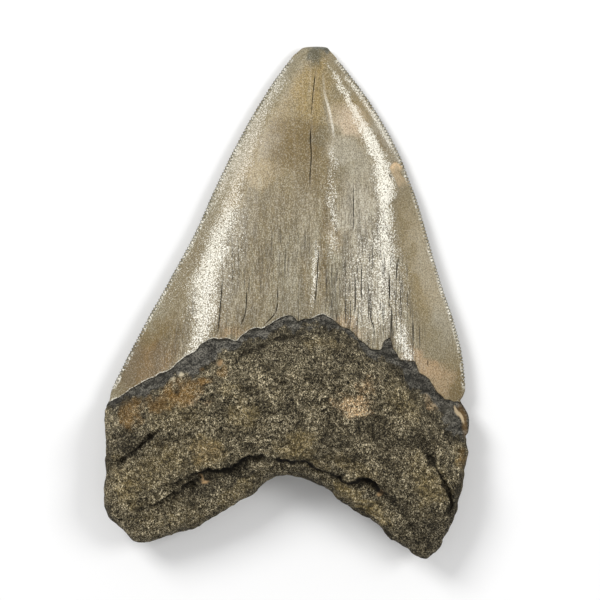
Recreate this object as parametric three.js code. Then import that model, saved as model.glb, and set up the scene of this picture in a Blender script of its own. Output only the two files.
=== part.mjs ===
// A fossil megalodon tooth in millimetres, lying on its flatter face with its rounded face up.
// X runs across the tooth, Y from the root to the tip and Z up.
// The origin is under the middle of the outline.
import * as THREE from "three";

// Driving dimensions
const TOOTH_LENGTH = 124;
const TOOTH_WIDTH = 88.5;
const TIP_EDGE_HEIGHT = 2.4; // the cutting edge above the resting plane, near the tip
const BASE_EDGE_HEIGHT = 4.6; // and near the root
const ROOT_EDGE_HEIGHT = 8.5; // the widest line of the root above the resting plane
const TIP_THICKNESS = 4.4;
const CROWN_BASE_THICKNESS = 16.6;
const CROWN_FULLNESS = 0.75; // below 1, the crown thickens quickly behind its tip
const CROWN_BOW = 0.26; // how much of the crown's height is lost by the gentle bow between its shoulders
const SHOULDER_WIDTH = 0.065; // how softly each shoulder turns down, as a share of the half width
const EDGE_FLARE = 0.7; // how far in from the cutting edge the crown stays thin
const ROOT_THICKNESS = 24;
const LOBE_THICKNESS = 15.5;
const ROOT_RISE_WIDTH = 13; // the slope from the crown up to the root
const ROOT_WALL_RADIUS = 9; // how far in from its outline both sides of the root stay rounded
const FLAT_DEPTH = 0.15; // how much of the underside's curve is worn away to the flat that it rests on
const FURROW_DEPTH = 2; // the hollow below the ledge that runs along the lower rim of the root
const FURROW_WIDTH = 6;
const RIM_DROP = 0.9; // how far the rim below the furrow lies under the ledge

// Facets
const RINGS_PER_FACE = 21;
const FACET_LENGTH = 3.1; // along the outline

// The outline in stretches, counterclockwise from the right side of the worn tip
const TIP_RIGHT = [10.4, 61.9];
const TIP_LEFT = [4.3, 61.9];
const LEFT_CORNER = [-42.6, -23.8];
const LEFT_LOBE = [-44.2, -47.3];
const ARCH_LEFT = [-26.9, -57];
const ARCH_RIGHT = [29.5, -59.9];
const RIGHT_LOBE = [39.7, -55.8];
const RIGHT_NOTCH = [43.6, -32.5];
const RIGHT_CORNER = [42.4, -23.8];
const CHIP = [28.6, 34.2];
const LEFT_CUTTING_EDGE = [TIP_LEFT, [-2.2, 54.6], [-13.6, 35.2], [-22.5, 16.2], [-30.5, 1.6], [-37, -11],
  LEFT_CORNER];
const RIGHT_CUTTING_EDGE = [RIGHT_CORNER, [43.8, -19], [42.1, -9.3], [37.3, 6.2], [31.9, 25.5],
  [29.2, 31.3], CHIP];
const UPPER_RIGHT_EDGE = [CHIP, [24, 43], [19.1, 50.7], TIP_RIGHT];
const OUTLINE_STRETCHES = [
  [TIP_RIGHT, TIP_LEFT],
  LEFT_CUTTING_EDGE,
  [LEFT_CORNER, [-43.8, -28.7], [-43.1, -36.5], LEFT_LOBE],
  [LEFT_LOBE, [-43.1, -51.7], [-40.2, -55.4], [-36.5, -57.9], [-32, -58.4], ARCH_LEFT],
  [ARCH_LEFT, [-13.6, -50.5], [-6.8, -46.1], [-2.4, -43], [1.2, -42.2], [4.6, -42.7], [11.9, -47.1],
    [20.8, -54.1], ARCH_RIGHT],
  [ARCH_RIGHT, [32.7, -62.1], [36.5, -60.3], RIGHT_LOBE],
  [RIGHT_LOBE, [43.3, -44.2], [44.3, -36.5], RIGHT_NOTCH],
  [RIGHT_NOTCH, [44.3, -28.5], RIGHT_CORNER],
  RIGHT_CUTTING_EDGE,
  UPPER_RIGHT_EDGE,
];

// Where the root starts to rise above the crown, from left to right
const ROOT_RISE = [[-46, -27], [-31, -20], [-19, -14.5], [-8, -9], [2, -6.5], [10, -6.8], [20, -12],
  [30, -20], [38, -28], [46, -36]];

// Crest of the ledge above the furrow, from left to right
const LEDGE = [[-34.5, -47.4], [-26.1, -43], [-18.4, -40.2], [-8, -36.6], [3, -37.6], [15.5, -43],
  [22.5, -45.2], [33, -53]];
const LEDGE_FADE = 5; // beyond both ends of the ledge

// Where the crown's shoulders run: height along the tooth, then share of the half width
const LEFT_SHOULDER = [[-24, 0.6], [-8, 0.61], [10, 0.76], [40, 0.8], [62, 0.7]];
const RIGHT_SHOULDER = [[-24, 0.7], [-5, 0.62], [24, 0.7], [28, 0.84], [43, 0.74], [62, 0.4]];

// The point that the rings of both faces close in on
const HUB = new THREE.Vector2(3.4, -23.8);

const { clamp, lerp, smoothstep } = THREE.MathUtils;

// The second number at a given first number, on a line of straight pieces whose first numbers rise
function valueOnLine(line, position) {
  const next = clamp(line.findIndex((point) => point[0] > position), 1, line.length - 1);
  const last = position > line[line.length - 1][0] ? line.length - 1 : next;
  const [x0, y0] = line[last - 1];
  const [x1, y1] = line[last];
  return lerp(y0, y1, clamp((position - x0) / (x1 - x0), 0, 1));
}

// The outline as points about FACET_LENGTH apart, with every corner kept
function outlinePoints() {
  const points = OUTLINE_STRETCHES.flatMap((stretch) => {
    const curve = new THREE.SplineCurve(stretch.map(([x, y]) => new THREE.Vector2(x, y)));
    const steps = Math.max(2, Math.round(curve.getLength() / FACET_LENGTH));
    return curve.getSpacedPoints(steps).slice(0, -1);
  });
  const box = new THREE.Box2().setFromPoints(points);
  const size = box.getSize(new THREE.Vector2());
  const centre = box.getCenter(new THREE.Vector2());
  const scale = new THREE.Vector2(TOOTH_WIDTH / size.x, TOOTH_LENGTH / size.y);
  return points.map((point) => point.clone().sub(centre).multiply(scale));
}

const outline = outlinePoints();

// Distance from a point inside the tooth to its outline
function distanceToOutline(point) {
  const place = new THREE.Vector3(point.x, point.y, 0);
  const nearest = new THREE.Vector3();
  const segment = new THREE.Line3();
  return Math.min(...outline.map((start, i) => {
    const end = outline[(i + 1) % outline.length];
    segment.start.set(start.x, start.y, 0);
    segment.end.set(end.x, end.y, 0);
    return segment.closestPointToPoint(place, true, nearest).distanceTo(place);
  }));
}

// The cutting edges as lines of Y and X, upwards
const leftEdge = LEFT_CUTTING_EDGE.map(([x, y]) => [y, x]).reverse();
const rightEdge = [...RIGHT_CUTTING_EDGE, ...UPPER_RIGHT_EDGE.slice(1)].map(([x, y]) => [y, x]);

// How far across the crown a point is: -1 on its left cutting edge, 0 on its midline and 1 on the right one
function crownPlace(x, y) {
  const left = valueOnLine(leftEdge, y);
  const right = valueOnLine(rightEdge, y);
  return clamp((2 * x - left - right) / (right - left), -1, 1);
}

// A line that turns from level to a slope of 1 at the shoulder, with a soft bend
function bend(across, shoulder) {
  return Math.log1p(Math.exp((across - shoulder) / SHOULDER_WIDTH));
}

// A wall that leaves the outline upright and rounds over to level
function roundedWall(distance) {
  const inward = 1 - clamp(distance / ROOT_WALL_RADIUS, 0, 1);
  return Math.sqrt(1 - inward * inward);
}

function edgeHeight(y) {
  const crown = lerp(TIP_EDGE_HEIGHT, BASE_EDGE_HEIGHT, smoothstep(-y, -60, 20));
  return lerp(crown, ROOT_EDGE_HEIGHT, smoothstep(-y, 22, 32));
}

function crownTop(x, y, distance) {
  const fromTip = clamp((TOOTH_LENGTH / 2 - y) / 68, 0, 1);
  const middle = lerp(TIP_THICKNESS, CROWN_BASE_THICKNESS, fromTip ** CROWN_FULLNESS);
  const place = crownPlace(x, y);
  const across = Math.abs(place);
  const shoulder = valueOnLine(place < 0 ? LEFT_SHOULDER : RIGHT_SHOULDER, y);
  const turned = (bend(across, shoulder) - bend(0, shoulder)) / (bend(1, shoulder) - bend(0, shoulder));
  const section = 1 - CROWN_BOW * across ** 2 - (1 - CROWN_BOW) * turned;
  const flare = distance / (distance + EDGE_FLARE);
  return lerp(edgeHeight(y), middle, section * flare);
}

function rootTop(x, y, distance) {
  const towardsLobe = Math.hypot(x / 50, (y + 17) / 44);
  const middle = lerp(ROOT_THICKNESS, LOBE_THICKNESS, smoothstep(towardsLobe, 0.1, 1.05));
  const belowLedge = valueOnLine(LEDGE, x) - y;
  const left = smoothstep(x, LEDGE[0][0] - LEDGE_FADE, LEDGE[0][0] + LEDGE_FADE);
  const right = smoothstep(-x, -LEDGE.at(-1)[0] - LEDGE_FADE, LEDGE_FADE - LEDGE.at(-1)[0]);
  const rim = smoothstep(belowLedge, FURROW_WIDTH / 2, FURROW_WIDTH);
  const furrow = FURROW_DEPTH * smoothstep(belowLedge, -1, FURROW_WIDTH / 2) * (1 - rim);
  const drop = (furrow + RIM_DROP * rim) * left * right;
  return lerp(edgeHeight(y), middle - drop, roundedWall(distance));
}

function upperFace(x, y, distance) {
  const root = smoothstep(valueOnLine(ROOT_RISE, x) - y, -2, ROOT_RISE_WIDTH - 2);
  return lerp(crownTop(x, y, distance), rootTop(x, y, distance), root);
}

// Flat where it rests, and curving up to the cutting edges and to the sides of the root
function lowerFace(x, y, distance) {
  const crownRise = edgeHeight(y) * Math.abs(crownPlace(x, y)) ** 2.6 - FLAT_DEPTH;
  const rootRise = edgeHeight(y) * (1 - roundedWall(distance));
  return Math.max(0, lerp(crownRise, rootRise, smoothstep(-y, 18, 30)));
}

// A sphere's rings become rings of the tooth: its equator is the outline, and its poles are at the hub
function toothGeometry() {
  const around = outline.length;
  const sphere = new THREE.SphereGeometry(1, around, 2 * RINGS_PER_FACE);
  const position = sphere.getAttribute("position");
  for (let ring = 0; ring <= 2 * RINGS_PER_FACE; ring += 1) {
    const share = Math.sin((ring / (2 * RINGS_PER_FACE)) * Math.PI);
    for (let step = 0; step <= around; step += 1) {
      const point = HUB.clone().lerp(outline[step % around], share);
      const distance = distanceToOutline(point);
      const face = ring < RINGS_PER_FACE ? upperFace : lowerFace;
      const height = ring === RINGS_PER_FACE ? edgeHeight(point.y) : face(point.x, point.y, distance);
      position.setXYZ(ring * (around + 1) + step, point.x, point.y, height);
    }
  }
  sphere.computeVertexNormals();
  return sphere;
}

const fossil = new THREE.MeshStandardMaterial({ color: 0x8d8168, roughness: 0.6, metalness: 0 });

const tooth = new THREE.Mesh(toothGeometry(), fossil);
tooth.name = "tooth";

const object = new THREE.Group();
object.add(tooth);

export default object;
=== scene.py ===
"""A fossil megalodon tooth that lies on its flatter face, as an add-on whose operators build it."""
import math

import bpy
import numpy as np
from bpy.props import FloatProperty, FloatVectorProperty, IntProperty, PointerProperty
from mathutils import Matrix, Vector
from mathutils.geometry import delaunay_2d_cdt
from mathutils.kdtree import KDTree


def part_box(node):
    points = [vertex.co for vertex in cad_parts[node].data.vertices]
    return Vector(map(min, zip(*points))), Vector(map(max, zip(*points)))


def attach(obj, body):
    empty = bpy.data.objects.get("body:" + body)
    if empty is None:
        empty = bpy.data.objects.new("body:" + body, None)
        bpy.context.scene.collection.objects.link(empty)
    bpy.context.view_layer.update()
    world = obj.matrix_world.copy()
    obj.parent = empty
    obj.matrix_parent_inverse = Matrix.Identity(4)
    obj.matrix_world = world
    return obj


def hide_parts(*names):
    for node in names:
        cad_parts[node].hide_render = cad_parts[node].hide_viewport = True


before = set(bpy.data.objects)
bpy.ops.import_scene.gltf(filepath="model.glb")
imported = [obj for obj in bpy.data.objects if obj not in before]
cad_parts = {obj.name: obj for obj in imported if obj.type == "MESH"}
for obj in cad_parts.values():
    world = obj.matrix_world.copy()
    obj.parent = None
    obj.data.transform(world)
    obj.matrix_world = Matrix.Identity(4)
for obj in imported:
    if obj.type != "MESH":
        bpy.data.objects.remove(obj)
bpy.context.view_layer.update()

bl_info = {
    "name": "Fossil Shark Tooth",
    "version": (1, 0, 0),
    "blender": (4, 5, 0),
    "location": "3D View > Sidebar > Fossil Tooth",
    "description": "Builds a worn megalodon tooth, its serrated edges, its finish and a plain stage",
    "category": "Add Mesh",
}

MM = 0.001  # the shape is drawn in millimetres and handed to Blender in metres
LOW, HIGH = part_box("tooth")
LENGTH = (HIGH[1] - LOW[1]) / MM
WIDTH = (HIGH[0] - LOW[0]) / MM
HEIGHT = (HIGH[2] - LOW[2]) / MM
TIP_Y = LENGTH / 2

# Heights of the two faces, in millimetres
TIP_EDGE_HEIGHT = 2.4  # the cutting edge above the resting plane, near the tip
BASE_EDGE_HEIGHT = 4.6  # and near the root
ROOT_EDGE_HEIGHT = 8.5  # the widest line of the root above the resting plane
TIP_THICKNESS = 4.4
CROWN_BASE_THICKNESS = 16.6
CROWN_LENGTH = 68
CROWN_FULLNESS = 0.75  # below 1, the crown thickens quickly behind its tip
CROWN_BOW = 0.26  # share of the crown's height that is lost by the gentle bow between its shoulders
LEFT_SHOULDER_TURN = 0.075  # how softly each shoulder turns down, as a share of the half width
RIGHT_SHOULDER_TURN = 0.055
EDGE_FLARE = 0.7  # how far in from the cutting edge the crown stays thin
BACK_HOLLOW = 2.6  # above 1, the flatter face stays low until close to the cutting edges
LUMP_ROOM = 0.5  # room above the root's smooth shape for its lumps
LOBE_THICKNESS = 15.5
SECOND_LEDGE_DEPTH = 1.2
RIM_DROP = 0.9  # how far the rim below the furrow lies under the ledge


# ---------------------------------------------------------------- the outline, in millimetres

TIP_RIGHT = (10.9, 60.9)
TIP_LEFT = (3.4, 61.1)
LEFT_CORNER = (-42.7, -24)
LEFT_LOBE = (-44.2, -47.3)
ARCH_LEFT = (-26.9, -57)
ARCH_RIGHT = (29.5, -59.9)
RIGHT_LOBE = (39.7, -55.8)
RIGHT_NOTCH = (43.5, -32.6)
RIGHT_CORNER = (42.4, -24.2)
LEFT_EDGE = [TIP_LEFT, (0.7, 58.4), (-4.8, 50.7), (-11.4, 39.3), (-17.2, 27.5), (-22, 16.8), (-28.6, 4.5),
             (-33.4, -4), (-39.7, -16.1), (-42.1, -21.2), LEFT_CORNER]
RIGHT_EDGE = [RIGHT_CORNER, (43.3, -22.8), (43.7, -20.4), (43, -13.2), (41, -5), (38.2, 3.3),
              (35.1, 13.9), (32.4, 23.4), (30, 29.9), (27.8, 35.7), (24, 43), (19.1, 50.7),
              (13.1, 58.4), TIP_RIGHT]
OUTLINE_STRETCHES = [
    [TIP_RIGHT, (9.9, 61.8), (7.2, 62), (4.6, 61.8), TIP_LEFT],
    LEFT_EDGE,
    [LEFT_CORNER, (-43.6, -26), (-43.7, -28.7), (-43.2, -34), (-43.4, -40), LEFT_LOBE],
    [LEFT_LOBE, (-43.8, -50.5), (-42.6, -52.9), (-40.2, -55.3), (-37.3, -57.5), (-34.1, -58.4),
     (-31, -58.2), ARCH_LEFT],
    [ARCH_LEFT, (-19.6, -53.8), (-13.6, -50.5), (-7.5, -46.6), (-2.7, -43.3), (-0.2, -42.6), (2.2, -42.5),
     (6.3, -43.7), (11.9, -47.1), (16.5, -50.9), (21.5, -54.3), (23.5, -56.3), (26.2, -58.3), ARCH_RIGHT],
    [ARCH_RIGHT, (30.7, -61.2), (32.7, -62.1), (34.6, -61.8), (37.5, -59.2), RIGHT_LOBE],
    [RIGHT_LOBE, (41.4, -50), (43.3, -43.2), (44.3, -36.4), RIGHT_NOTCH],
    [RIGHT_NOTCH, (44.2, -31.4), (44.3, -27.8), RIGHT_CORNER],
    RIGHT_EDGE,
]


# ---------------------------------------------------------------- lines and marks on the rounded face

# Lower limits of the enamel and of the smooth band under it, from left to right
ENAMEL_LIMIT = [(-43.5, -24), (-40.4, -23.2), (-35.1, -19.8), (-31, -17.6), (-27.8, -16.7), (-24.4, -13.7),
                (-20.8, -10.9), (-17.9, -9.2), (-13.5, -8.8), (-11.6, -9.1), (-8.7, -6.8), (-5.8, -6.4),
                (-2.7, -4.9), (0.2, -3.4), (1.5, -3.4), (2.9, -4.5), (5.8, -4.4), (8.7, -2.8), (11.4, -4.1),
                (13.5, -6.3), (16, -7.3), (17.4, -9.3), (20.3, -11.3), (22.7, -11.4), (23.5, -9.3),
                (24.9, -8.5), (25.7, -11.4), (27.6, -14.1), (31, -14.4), (31.9, -16.8), (34.4, -18.6),
                (36.1, -21.5), (38.2, -23.5), (42.5, -24.3)]
BAND_LIMIT = [(-44, -25.4), (-40.2, -24.2), (-34.1, -22.3), (-31, -21.2), (-27.6, -18.6), (-24.4, -17.8),
              (-20.8, -16.8), (-19.6, -14.8), (-15.5, -12.4), (-11.6, -10.8), (-6.3, -9.6), (-2.7, -7.8),
              (1, -6.9), (4, -6), (9, -5.6), (14, -7.9), (18.5, -11.8), (23.5, -13.2), (27.6, -16.3),
              (30, -20.3), (34.9, -24.1), (37.3, -26.9), (39.7, -30.1), (43.5, -32.6)]

# Where the root starts to rise above the crown
ROOT_RISE = [(-46, -27), (-31, -20), (-19, -14.5), (-8, -9), (2, -6.5), (10, -6.8), (20, -12), (30, -20),
             (38, -28), (46, -36)]

# Crest of the ledge above the furrow, and the second ledge under its left half
LEDGE = [(-34.5, -47.4), (-32.4, -46.1), (-28.6, -43.7), (-26.1, -43), (-22, -41.3), (-20.1, -40.8),
         (-18.4, -39.8), (-16.5, -40.3), (-13.6, -39.9), (-11.1, -38.4), (-8.7, -36.5), (-5.6, -36.4),
         (-3.6, -37.6), (-1.5, -38.3), (1, -38.1), (2.7, -37.4), (4.6, -37.6), (6.3, -38.9), (7.7, -40.3),
         (11.9, -41.5), (15.5, -43.2), (18.6, -42.2), (20.3, -42.9), (22.5, -45.2), (25.2, -47.4),
         (29.5, -50), (33, -53)]
SECOND_LEDGE = [(-33.2, -49.6), (-29.5, -47.4), (-27.2, -46), (-25.2, -45), (-22.8, -43.4), (-20.6, -41.8)]
# Across the tooth: depth under the ledge, and how far from it the hollow reaches
LEDGE_DEPTH = [(-34.5, 0.3), (-28, 0.8), (-21.5, 1.1), (-19, 2.2), (-8, 2.5), (-5.8, 1.4), (-4, 0.8),
               (-2, 1.6), (3, 1.9), (15, 1.8), (17.5, 2.5), (20.5, 2.2), (23.5, 1.1), (29, 0.8), (33, 0.2)]
LEDGE_REACH = [(-34.5, 1.4), (-22, 1.8), (-18.5, 5), (-8, 5), (-4, 2.6), (1, 2.2), (14, 2.6), (17.5, 4.2),
               (21, 4.4), (26, 5), (33, 5)]

# Where the crown's shoulders run: height along the tooth, then share of the half width
LEFT_SHOULDER = [(-24, 0.6), (-8, 0.61), (0, 0.68), (10, 0.76), (25, 0.78), (40, 0.8), (62, 0.7)]
RIGHT_SHOULDER = [(-24, 0.7), (-12, 0.66), (-5, 0.62), (9, 0.66), (24, 0.7), (28, 0.84), (35, 0.8),
                  (43, 0.74), (50, 0.66), (58, 0.46), (62, 0.4)]

# Bands of painted highlight on the crown, which are also made glossier: height along the tooth, middle, half
# width and strength
LEFT_SHINE = [(-15, -25.5, 0.7, 0.5), (-11.5, -21.8, 1.3, 0.74), (-5.4, -19.8, 2.6, 0.86),
              (0, -19.8, 3.6, 0.86), (5, -19.5, 4, 0.88), (12, -17.1, 3.3, 0.92), (20.7, -14.3, 2.9, 0.76),
              (29.4, -11.8, 2.4, 0.7), (35, -9.6, 2.2, 0.65), (43, -6.4, 1.6, 0.55), (50, -3.2, 1.1, 0.5),
              (56, 0.2, 0.8, 0.45)]
RIGHT_SHINE = [(-4, 22.3, 2.8, 0.6), (3, 23, 2.8, 0.65), (10, 24, 2.7, 0.8), (17, 23.7, 2.3, 0.82),
               (21, 24, 1.8, 0.92), (25, 24, 2.2, 1), (30, 24, 2.6, 1), (35, 22.4, 2.2, 1),
               (41, 19.6, 1.5, 1), (46.8, 16.3, 1.3, 1), (52.6, 13.1, 0.8, 0.8), (58.4, 9.4, 0.5, 0.5)]
FOLD_SHINE = [(8, 10.9, 0.7, 0.15), (12, 11.1, 0.8, 0.5), (18.5, 11.6, 1, 0.5), (21, 11.6, 0.8, 0.7),
              (25, 11, 0.9, 0.55), (29.5, 11, 1.2, 0.35), (34, 11.3, 0.9, 0.45), (38, 11.2, 0.8, 0.5)]
MIDDLE_SHINE = [(-4, 6, 0.6, 0.2), (1, 6.4, 0.7, 0.55), (6, 6.8, 0.8, 0.8), (12, 7.4, 0.7, 0.65),
                (16, 7.6, 0.5, 0.2)]
LOW_SHINE = [(-14.6, 29.2, 1.3, 0.82), (-8.4, 27.7, 1.6, 0.82), (-2.5, 26.8, 1, 0.4)]
# Broad thin painted sheens beside them: centre, radii, turn in degrees and strength
SHEENS = [((21.5, 5), (7.5, 14), 0, 0.48), ((-17, 8), (6, 20), -14, 0.36)]

# Edge of the outer enamel beside the flake that is gone from the right cutting edge
FLAKE = [(23.9, 21.6), (25.2, 23.8), (26.7, 25.2), (27.1, 26.8), (26.8, 28.3), (25.9, 30.2), (25, 32),
         (25.5, 33.1), (26.6, 33.8), (27.8, 33.2), (28.9, 32.6)]

# Cracks: name, points, half width and depth
CRACKS = [
    ("centre upper", [(7.3, 57), (6.8, 52.4), (6.3, 47.5), (6.1, 44)], 0.1, 0.2),
    ("centre lower", [(6.1, 43.7), (5.9, 39), (6.1, 35), (5.8, 30), (5.8, 26)], 0.12, 0.3),
    ("middle left", [(7.9, 13.5), (7.5, 6), (7.2, 2), (6.8, -2)], 0.11, 0.26),
    ("right of middle", [(16.2, 29), (16.2, 22), (16.3, 15.8)], 0.1, 0.22),
    ("right upper", [(16.5, 7.3), (16.6, 1.5), (16.4, -4)], 0.11, 0.26),
    ("right inner", [(18.1, 8.8), (18, 0)], 0.1, 0.2),
    ("right inner low", [(20.1, 3), (20.2, -3.5), (21, -6.5), (21.1, -11.3)], 0.11, 0.24),
    ("shoulder", [(24.7, 9.5), (24.8, 2), (24.7, -0.8), (25.3, -2), (25.3, -6), (25.5, -11)], 0.13, 0.42),
    ("shoulder top", [(27.2, 11.3), (26.6, 7), (26.4, 4)], 0.11, 0.26),
    ("right low", [(30.6, -4.5), (30.5, -8), (30.6, -11.6)], 0.12, 0.28),
    ("right foot", [(34.1, -14.2), (34.1, -15.6)], 0.12, 0.25),
    ("flake nick", [(24.8, 30.6), (25.6, 29.8)], 0.14, 0.3),
    ("left curved", [(-15, 6.4), (-15.5, 0.4), (-16.2, -6.9), (-17.3, -8.9)], 0.12, 0.26),
    ("left inner", [(-9.3, 3.6), (-9.6, -2.6), (-11.1, -6.5)], 0.11, 0.24),
    ("left of middle", [(-1.9, 4.1), (-2.2, -2), (-4.4, -5), (-5.8, -6.2)], 0.12, 0.24),
]

# Grooves and cracks of the root: name, points, half width and depth
GROOVES = [
    ("left groove", [(-42.2, -39.9), (-40, -38.8), (-37.5, -36.9), (-35.3, -35), (-33.5, -33.4),
                     (-31, -31.4), (-28.6, -29.6)], 0.5, 0.8),
    ("upper ridge", [(-13.5, -13.4), (-10, -12.2), (-6.5, -11), (-3.5, -9.4), (-1, -8.7), (2, -8.3),
                     (4.5, -8.6)], 0.42, 0.5),
    ("left short groove", [(-24.4, -32.8), (-22.6, -31.6), (-20.4, -30.4)], 0.4, 0.45),
    ("right hollow", [(31, -31.8), (32.6, -33.6), (34, -35.4)], 1.5, 0.5),
    ("right crack", [(33.2, -35.4), (35, -38.2), (36.6, -41), (38, -43.8), (39.3, -46.4), (39.8, -49),
                     (39.5, -51.5)], 0.36, 1.1),
]


# ---------------------------------------------------------------- small tools for lines and fields

def smooth_curve(points, spacing):
    """Points about spacing apart on a smooth curve through the given ones."""
    p = np.asarray(points, float)
    p = np.vstack([2 * p[0] - p[1], p, 2 * p[-1] - p[-2]])
    t = np.linspace(0, 1, 24, endpoint=False)[:, None]
    runs = []
    for a, b, c, d in zip(p[:-3], p[1:-2], p[2:-1], p[3:]):
        cubic = (-a + 3 * b - 3 * c + d) * t ** 3 + (2 * a - 5 * b + 4 * c - d) * t ** 2 + (c - a) * t + 2 * b
        runs.append(cubic / 2)
    return evenly(np.vstack(runs + [p[-2:-1]]), spacing)


def evenly(points, spacing):
    """The same line with its points an even distance apart, close to spacing."""
    steps = np.hypot(*np.diff(points, axis=0).T)
    run = np.concatenate([[0], np.cumsum(steps)])
    count = max(2, int(round(run[-1] / spacing)) + 1)
    places = np.linspace(0, run[-1], count)
    return np.column_stack([np.interp(places, run, points[:, 0]), np.interp(places, run, points[:, 1])])


def step(value, low, high):
    """0 below low, 1 above high, and a soft slope between."""
    t = np.clip((value - low) / (high - low), 0, 1)
    return t * t * (3 - 2 * t)


def blend(a, b, share):
    return a + (b - a) * share


def line_value(line, x):
    """The line's second number at x, for a line whose first numbers rise."""
    line = np.asarray(line, float)
    return np.interp(x, line[:, 0], line[:, 1])


def path_field(xy, points):
    """Distance to a path, signed by side, and the distance run along it, for many places at once."""
    path = np.asarray(points, float)
    nearest = np.full(len(xy), np.inf)
    side = np.zeros(len(xy))
    along = np.zeros(len(xy))
    run = 0.0
    for start, end in zip(path[:-1], path[1:]):
        leg = end - start
        length = np.hypot(*leg)
        offset = xy - start
        t = np.clip(offset @ leg / length ** 2, 0, 1)
        gap = offset - t[:, None] * leg
        distance = np.hypot(gap[:, 0], gap[:, 1])
        closer = distance < nearest
        turn = leg[0] * offset[:, 1] - leg[1] * offset[:, 0]
        nearest[closer] = distance[closer]
        side[closer] = np.sign(turn[closer])
        along[closer] = run + t[closer] * length
        run += length
    return nearest * side, along, run


def hashed(cells, seed):
    """A fixed random number between -1 and 1 for each whole-number cell."""
    mixed = cells.astype(np.int64) * np.array([73856093, 19349663, 83492791])
    h = (mixed[..., 0] ^ mixed[..., 1] ^ mixed[..., 2]) + seed * 2654435761
    h = (h ^ (h >> 13)) * 1274126177
    h = (h ^ (h >> 16)) & 0xFFFFFF
    return h / 0x7FFFFF - 1.0


def hills(places, size, seed, octaves=3, rough=0.5):
    """Smooth random heights, mostly between -1 and 1, with hills about size apart."""
    total = np.zeros(len(places))
    weight = 1.0
    for octave in range(octaves):
        p = places / size * 2 ** octave + 17.3 * octave
        cell = np.floor(p)
        f = p - cell
        f = f * f * f * (f * (f * 6 - 15) + 10)
        value = np.zeros(len(places))
        for corner in np.ndindex(2, 2, 2):
            share = np.prod(np.where(np.array(corner) == 1, f, 1 - f), axis=1)
            value += share * hashed(cell + corner, seed + octave)
        total += value * weight
        weight *= rough
    return total * 1.3


def deep(xy):
    """Places in the plane as places in space, for the random hills."""
    return np.column_stack([xy, np.zeros(len(xy))])


def ellipse(xy, centre, radii, turn=0.0, soft=0.35):
    """1 inside an ellipse, fading out over its soft rim."""
    c, s = math.cos(math.radians(turn)), math.sin(math.radians(turn))
    offset = xy - np.asarray(centre, float)
    u = (offset[:, 0] * c + offset[:, 1] * s) / radii[0]
    v = (offset[:, 1] * c - offset[:, 0] * s) / radii[1]
    return 1 - step(np.hypot(u, v), 1 - soft, 1 + soft)


# ---------------------------------------------------------------- the heights of both faces, in millimetres

def crown_share(xy):
    """Signed place across the crown: -1 on the left cutting edge, 0 in the middle and 1 on the right one."""
    left = line_value([(y, x) for x, y in reversed(LEFT_EDGE)], xy[:, 1])
    right = line_value([(y, x) for x, y in RIGHT_EDGE], xy[:, 1])
    return np.clip((2 * xy[:, 0] - left - right) / (right - left), -1, 1)


def edge_height(y):
    """Height of the outline above the resting plane: a thin crown on a thick root."""
    crown = blend(TIP_EDGE_HEIGHT, BASE_EDGE_HEIGHT, step(-y, -60, 20))
    return blend(crown, ROOT_EDGE_HEIGHT, step(-y, 22, 32))


def crown_top(xy, to_edge):
    """The crown's rounded face: a gently bowed middle, two shoulders and two flared margins."""
    across = crown_share(xy)
    a = np.abs(across)
    y = xy[:, 1]
    shoulder = np.where(across < 0, line_value(LEFT_SHOULDER, y), line_value(RIGHT_SHOULDER, y))
    turn = np.where(across > 0, RIGHT_SHOULDER_TURN, LEFT_SHOULDER_TURN)
    level = np.logaddexp(0, -shoulder / turn)
    drop = np.logaddexp(0, (a - shoulder) / turn) - level
    full = np.logaddexp(0, (1 - shoulder) / turn) - level
    section = 1 - CROWN_BOW * a ** 2 - (1 - CROWN_BOW) * drop / full
    flare = to_edge / (to_edge + EDGE_FLARE)
    from_tip = np.clip((TIP_Y - y) / CROWN_LENGTH, 0, 1)
    middle = blend(TIP_THICKNESS, CROWN_BASE_THICKNESS, from_tip ** CROWN_FULLNESS)
    return edge_height(y) + (middle - edge_height(y)) * section * flare


def root_middle(xy):
    """The root's rounded face before its sides are turned down."""
    reach = np.hypot(xy[:, 0] / 50, (xy[:, 1] + 17) / 44)
    return blend(HEIGHT - LUMP_ROOM, LOBE_THICKNESS, step(reach, 0.1, 1.05))


def furrow(xy):
    """Depth of the hollows under the two ledges, with the rim that closes them, and the painted shade of
    their insides.
    """
    x, y = xy.T
    ledge_depth = line_value(LEDGE_DEPTH, x)
    below = line_value(LEDGE, x) - y + 0.3 * hills(deep(xy), 1.6, 51, 2)
    reach = line_value(LEDGE_REACH, x)
    back_up = step((below - 0.5) / reach, 0, 1)
    ends = step(x, -38, -31) * (1 - step(x, 30, 36))
    first = ledge_depth * step(below, -0.2, 0.3) * (1 - back_up) + RIM_DROP * back_up * ends
    lower = line_value(SECOND_LEDGE, x) - y + 0.25 * hills(deep(xy), 1.6, 52, 2)
    lower_ends = step(x, -35, -30) * (1 - step(x, -21.5, -19.5))
    second = SECOND_LEDGE_DEPTH * step(lower, -0.2, 0.3) * (1 - step(lower, 0.6, 4.5)) * lower_ends
    crevice = step(below, -0.25, 0.1) * (1 - step(below, 0.35, 0.45 + 0.3 * reach))
    crevice *= step(ledge_depth, 0.3, 1.6)
    lower_crevice = step(lower, -0.25, 0.1) * (1 - step(lower, 0.25, 1.1)) * lower_ends
    return first + second, np.maximum(crevice, 0.85 * lower_crevice)


def root_share(xy):
    """0 on the crown, 1 on the root, and a long slope between them."""
    return step(line_value(smooth_curve(ROOT_RISE, 0.5), xy[:, 0]) - xy[:, 1], -2.0, 11.0)


def upper_heights(xy, to_edge, wall):
    """Heights of the rounded face before it is worn."""
    crown = crown_top(xy, to_edge)
    side = edge_height(xy[:, 1])
    root = side + (root_middle(xy) - side) * wall
    return blend(crown, root, root_share(xy))


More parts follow.
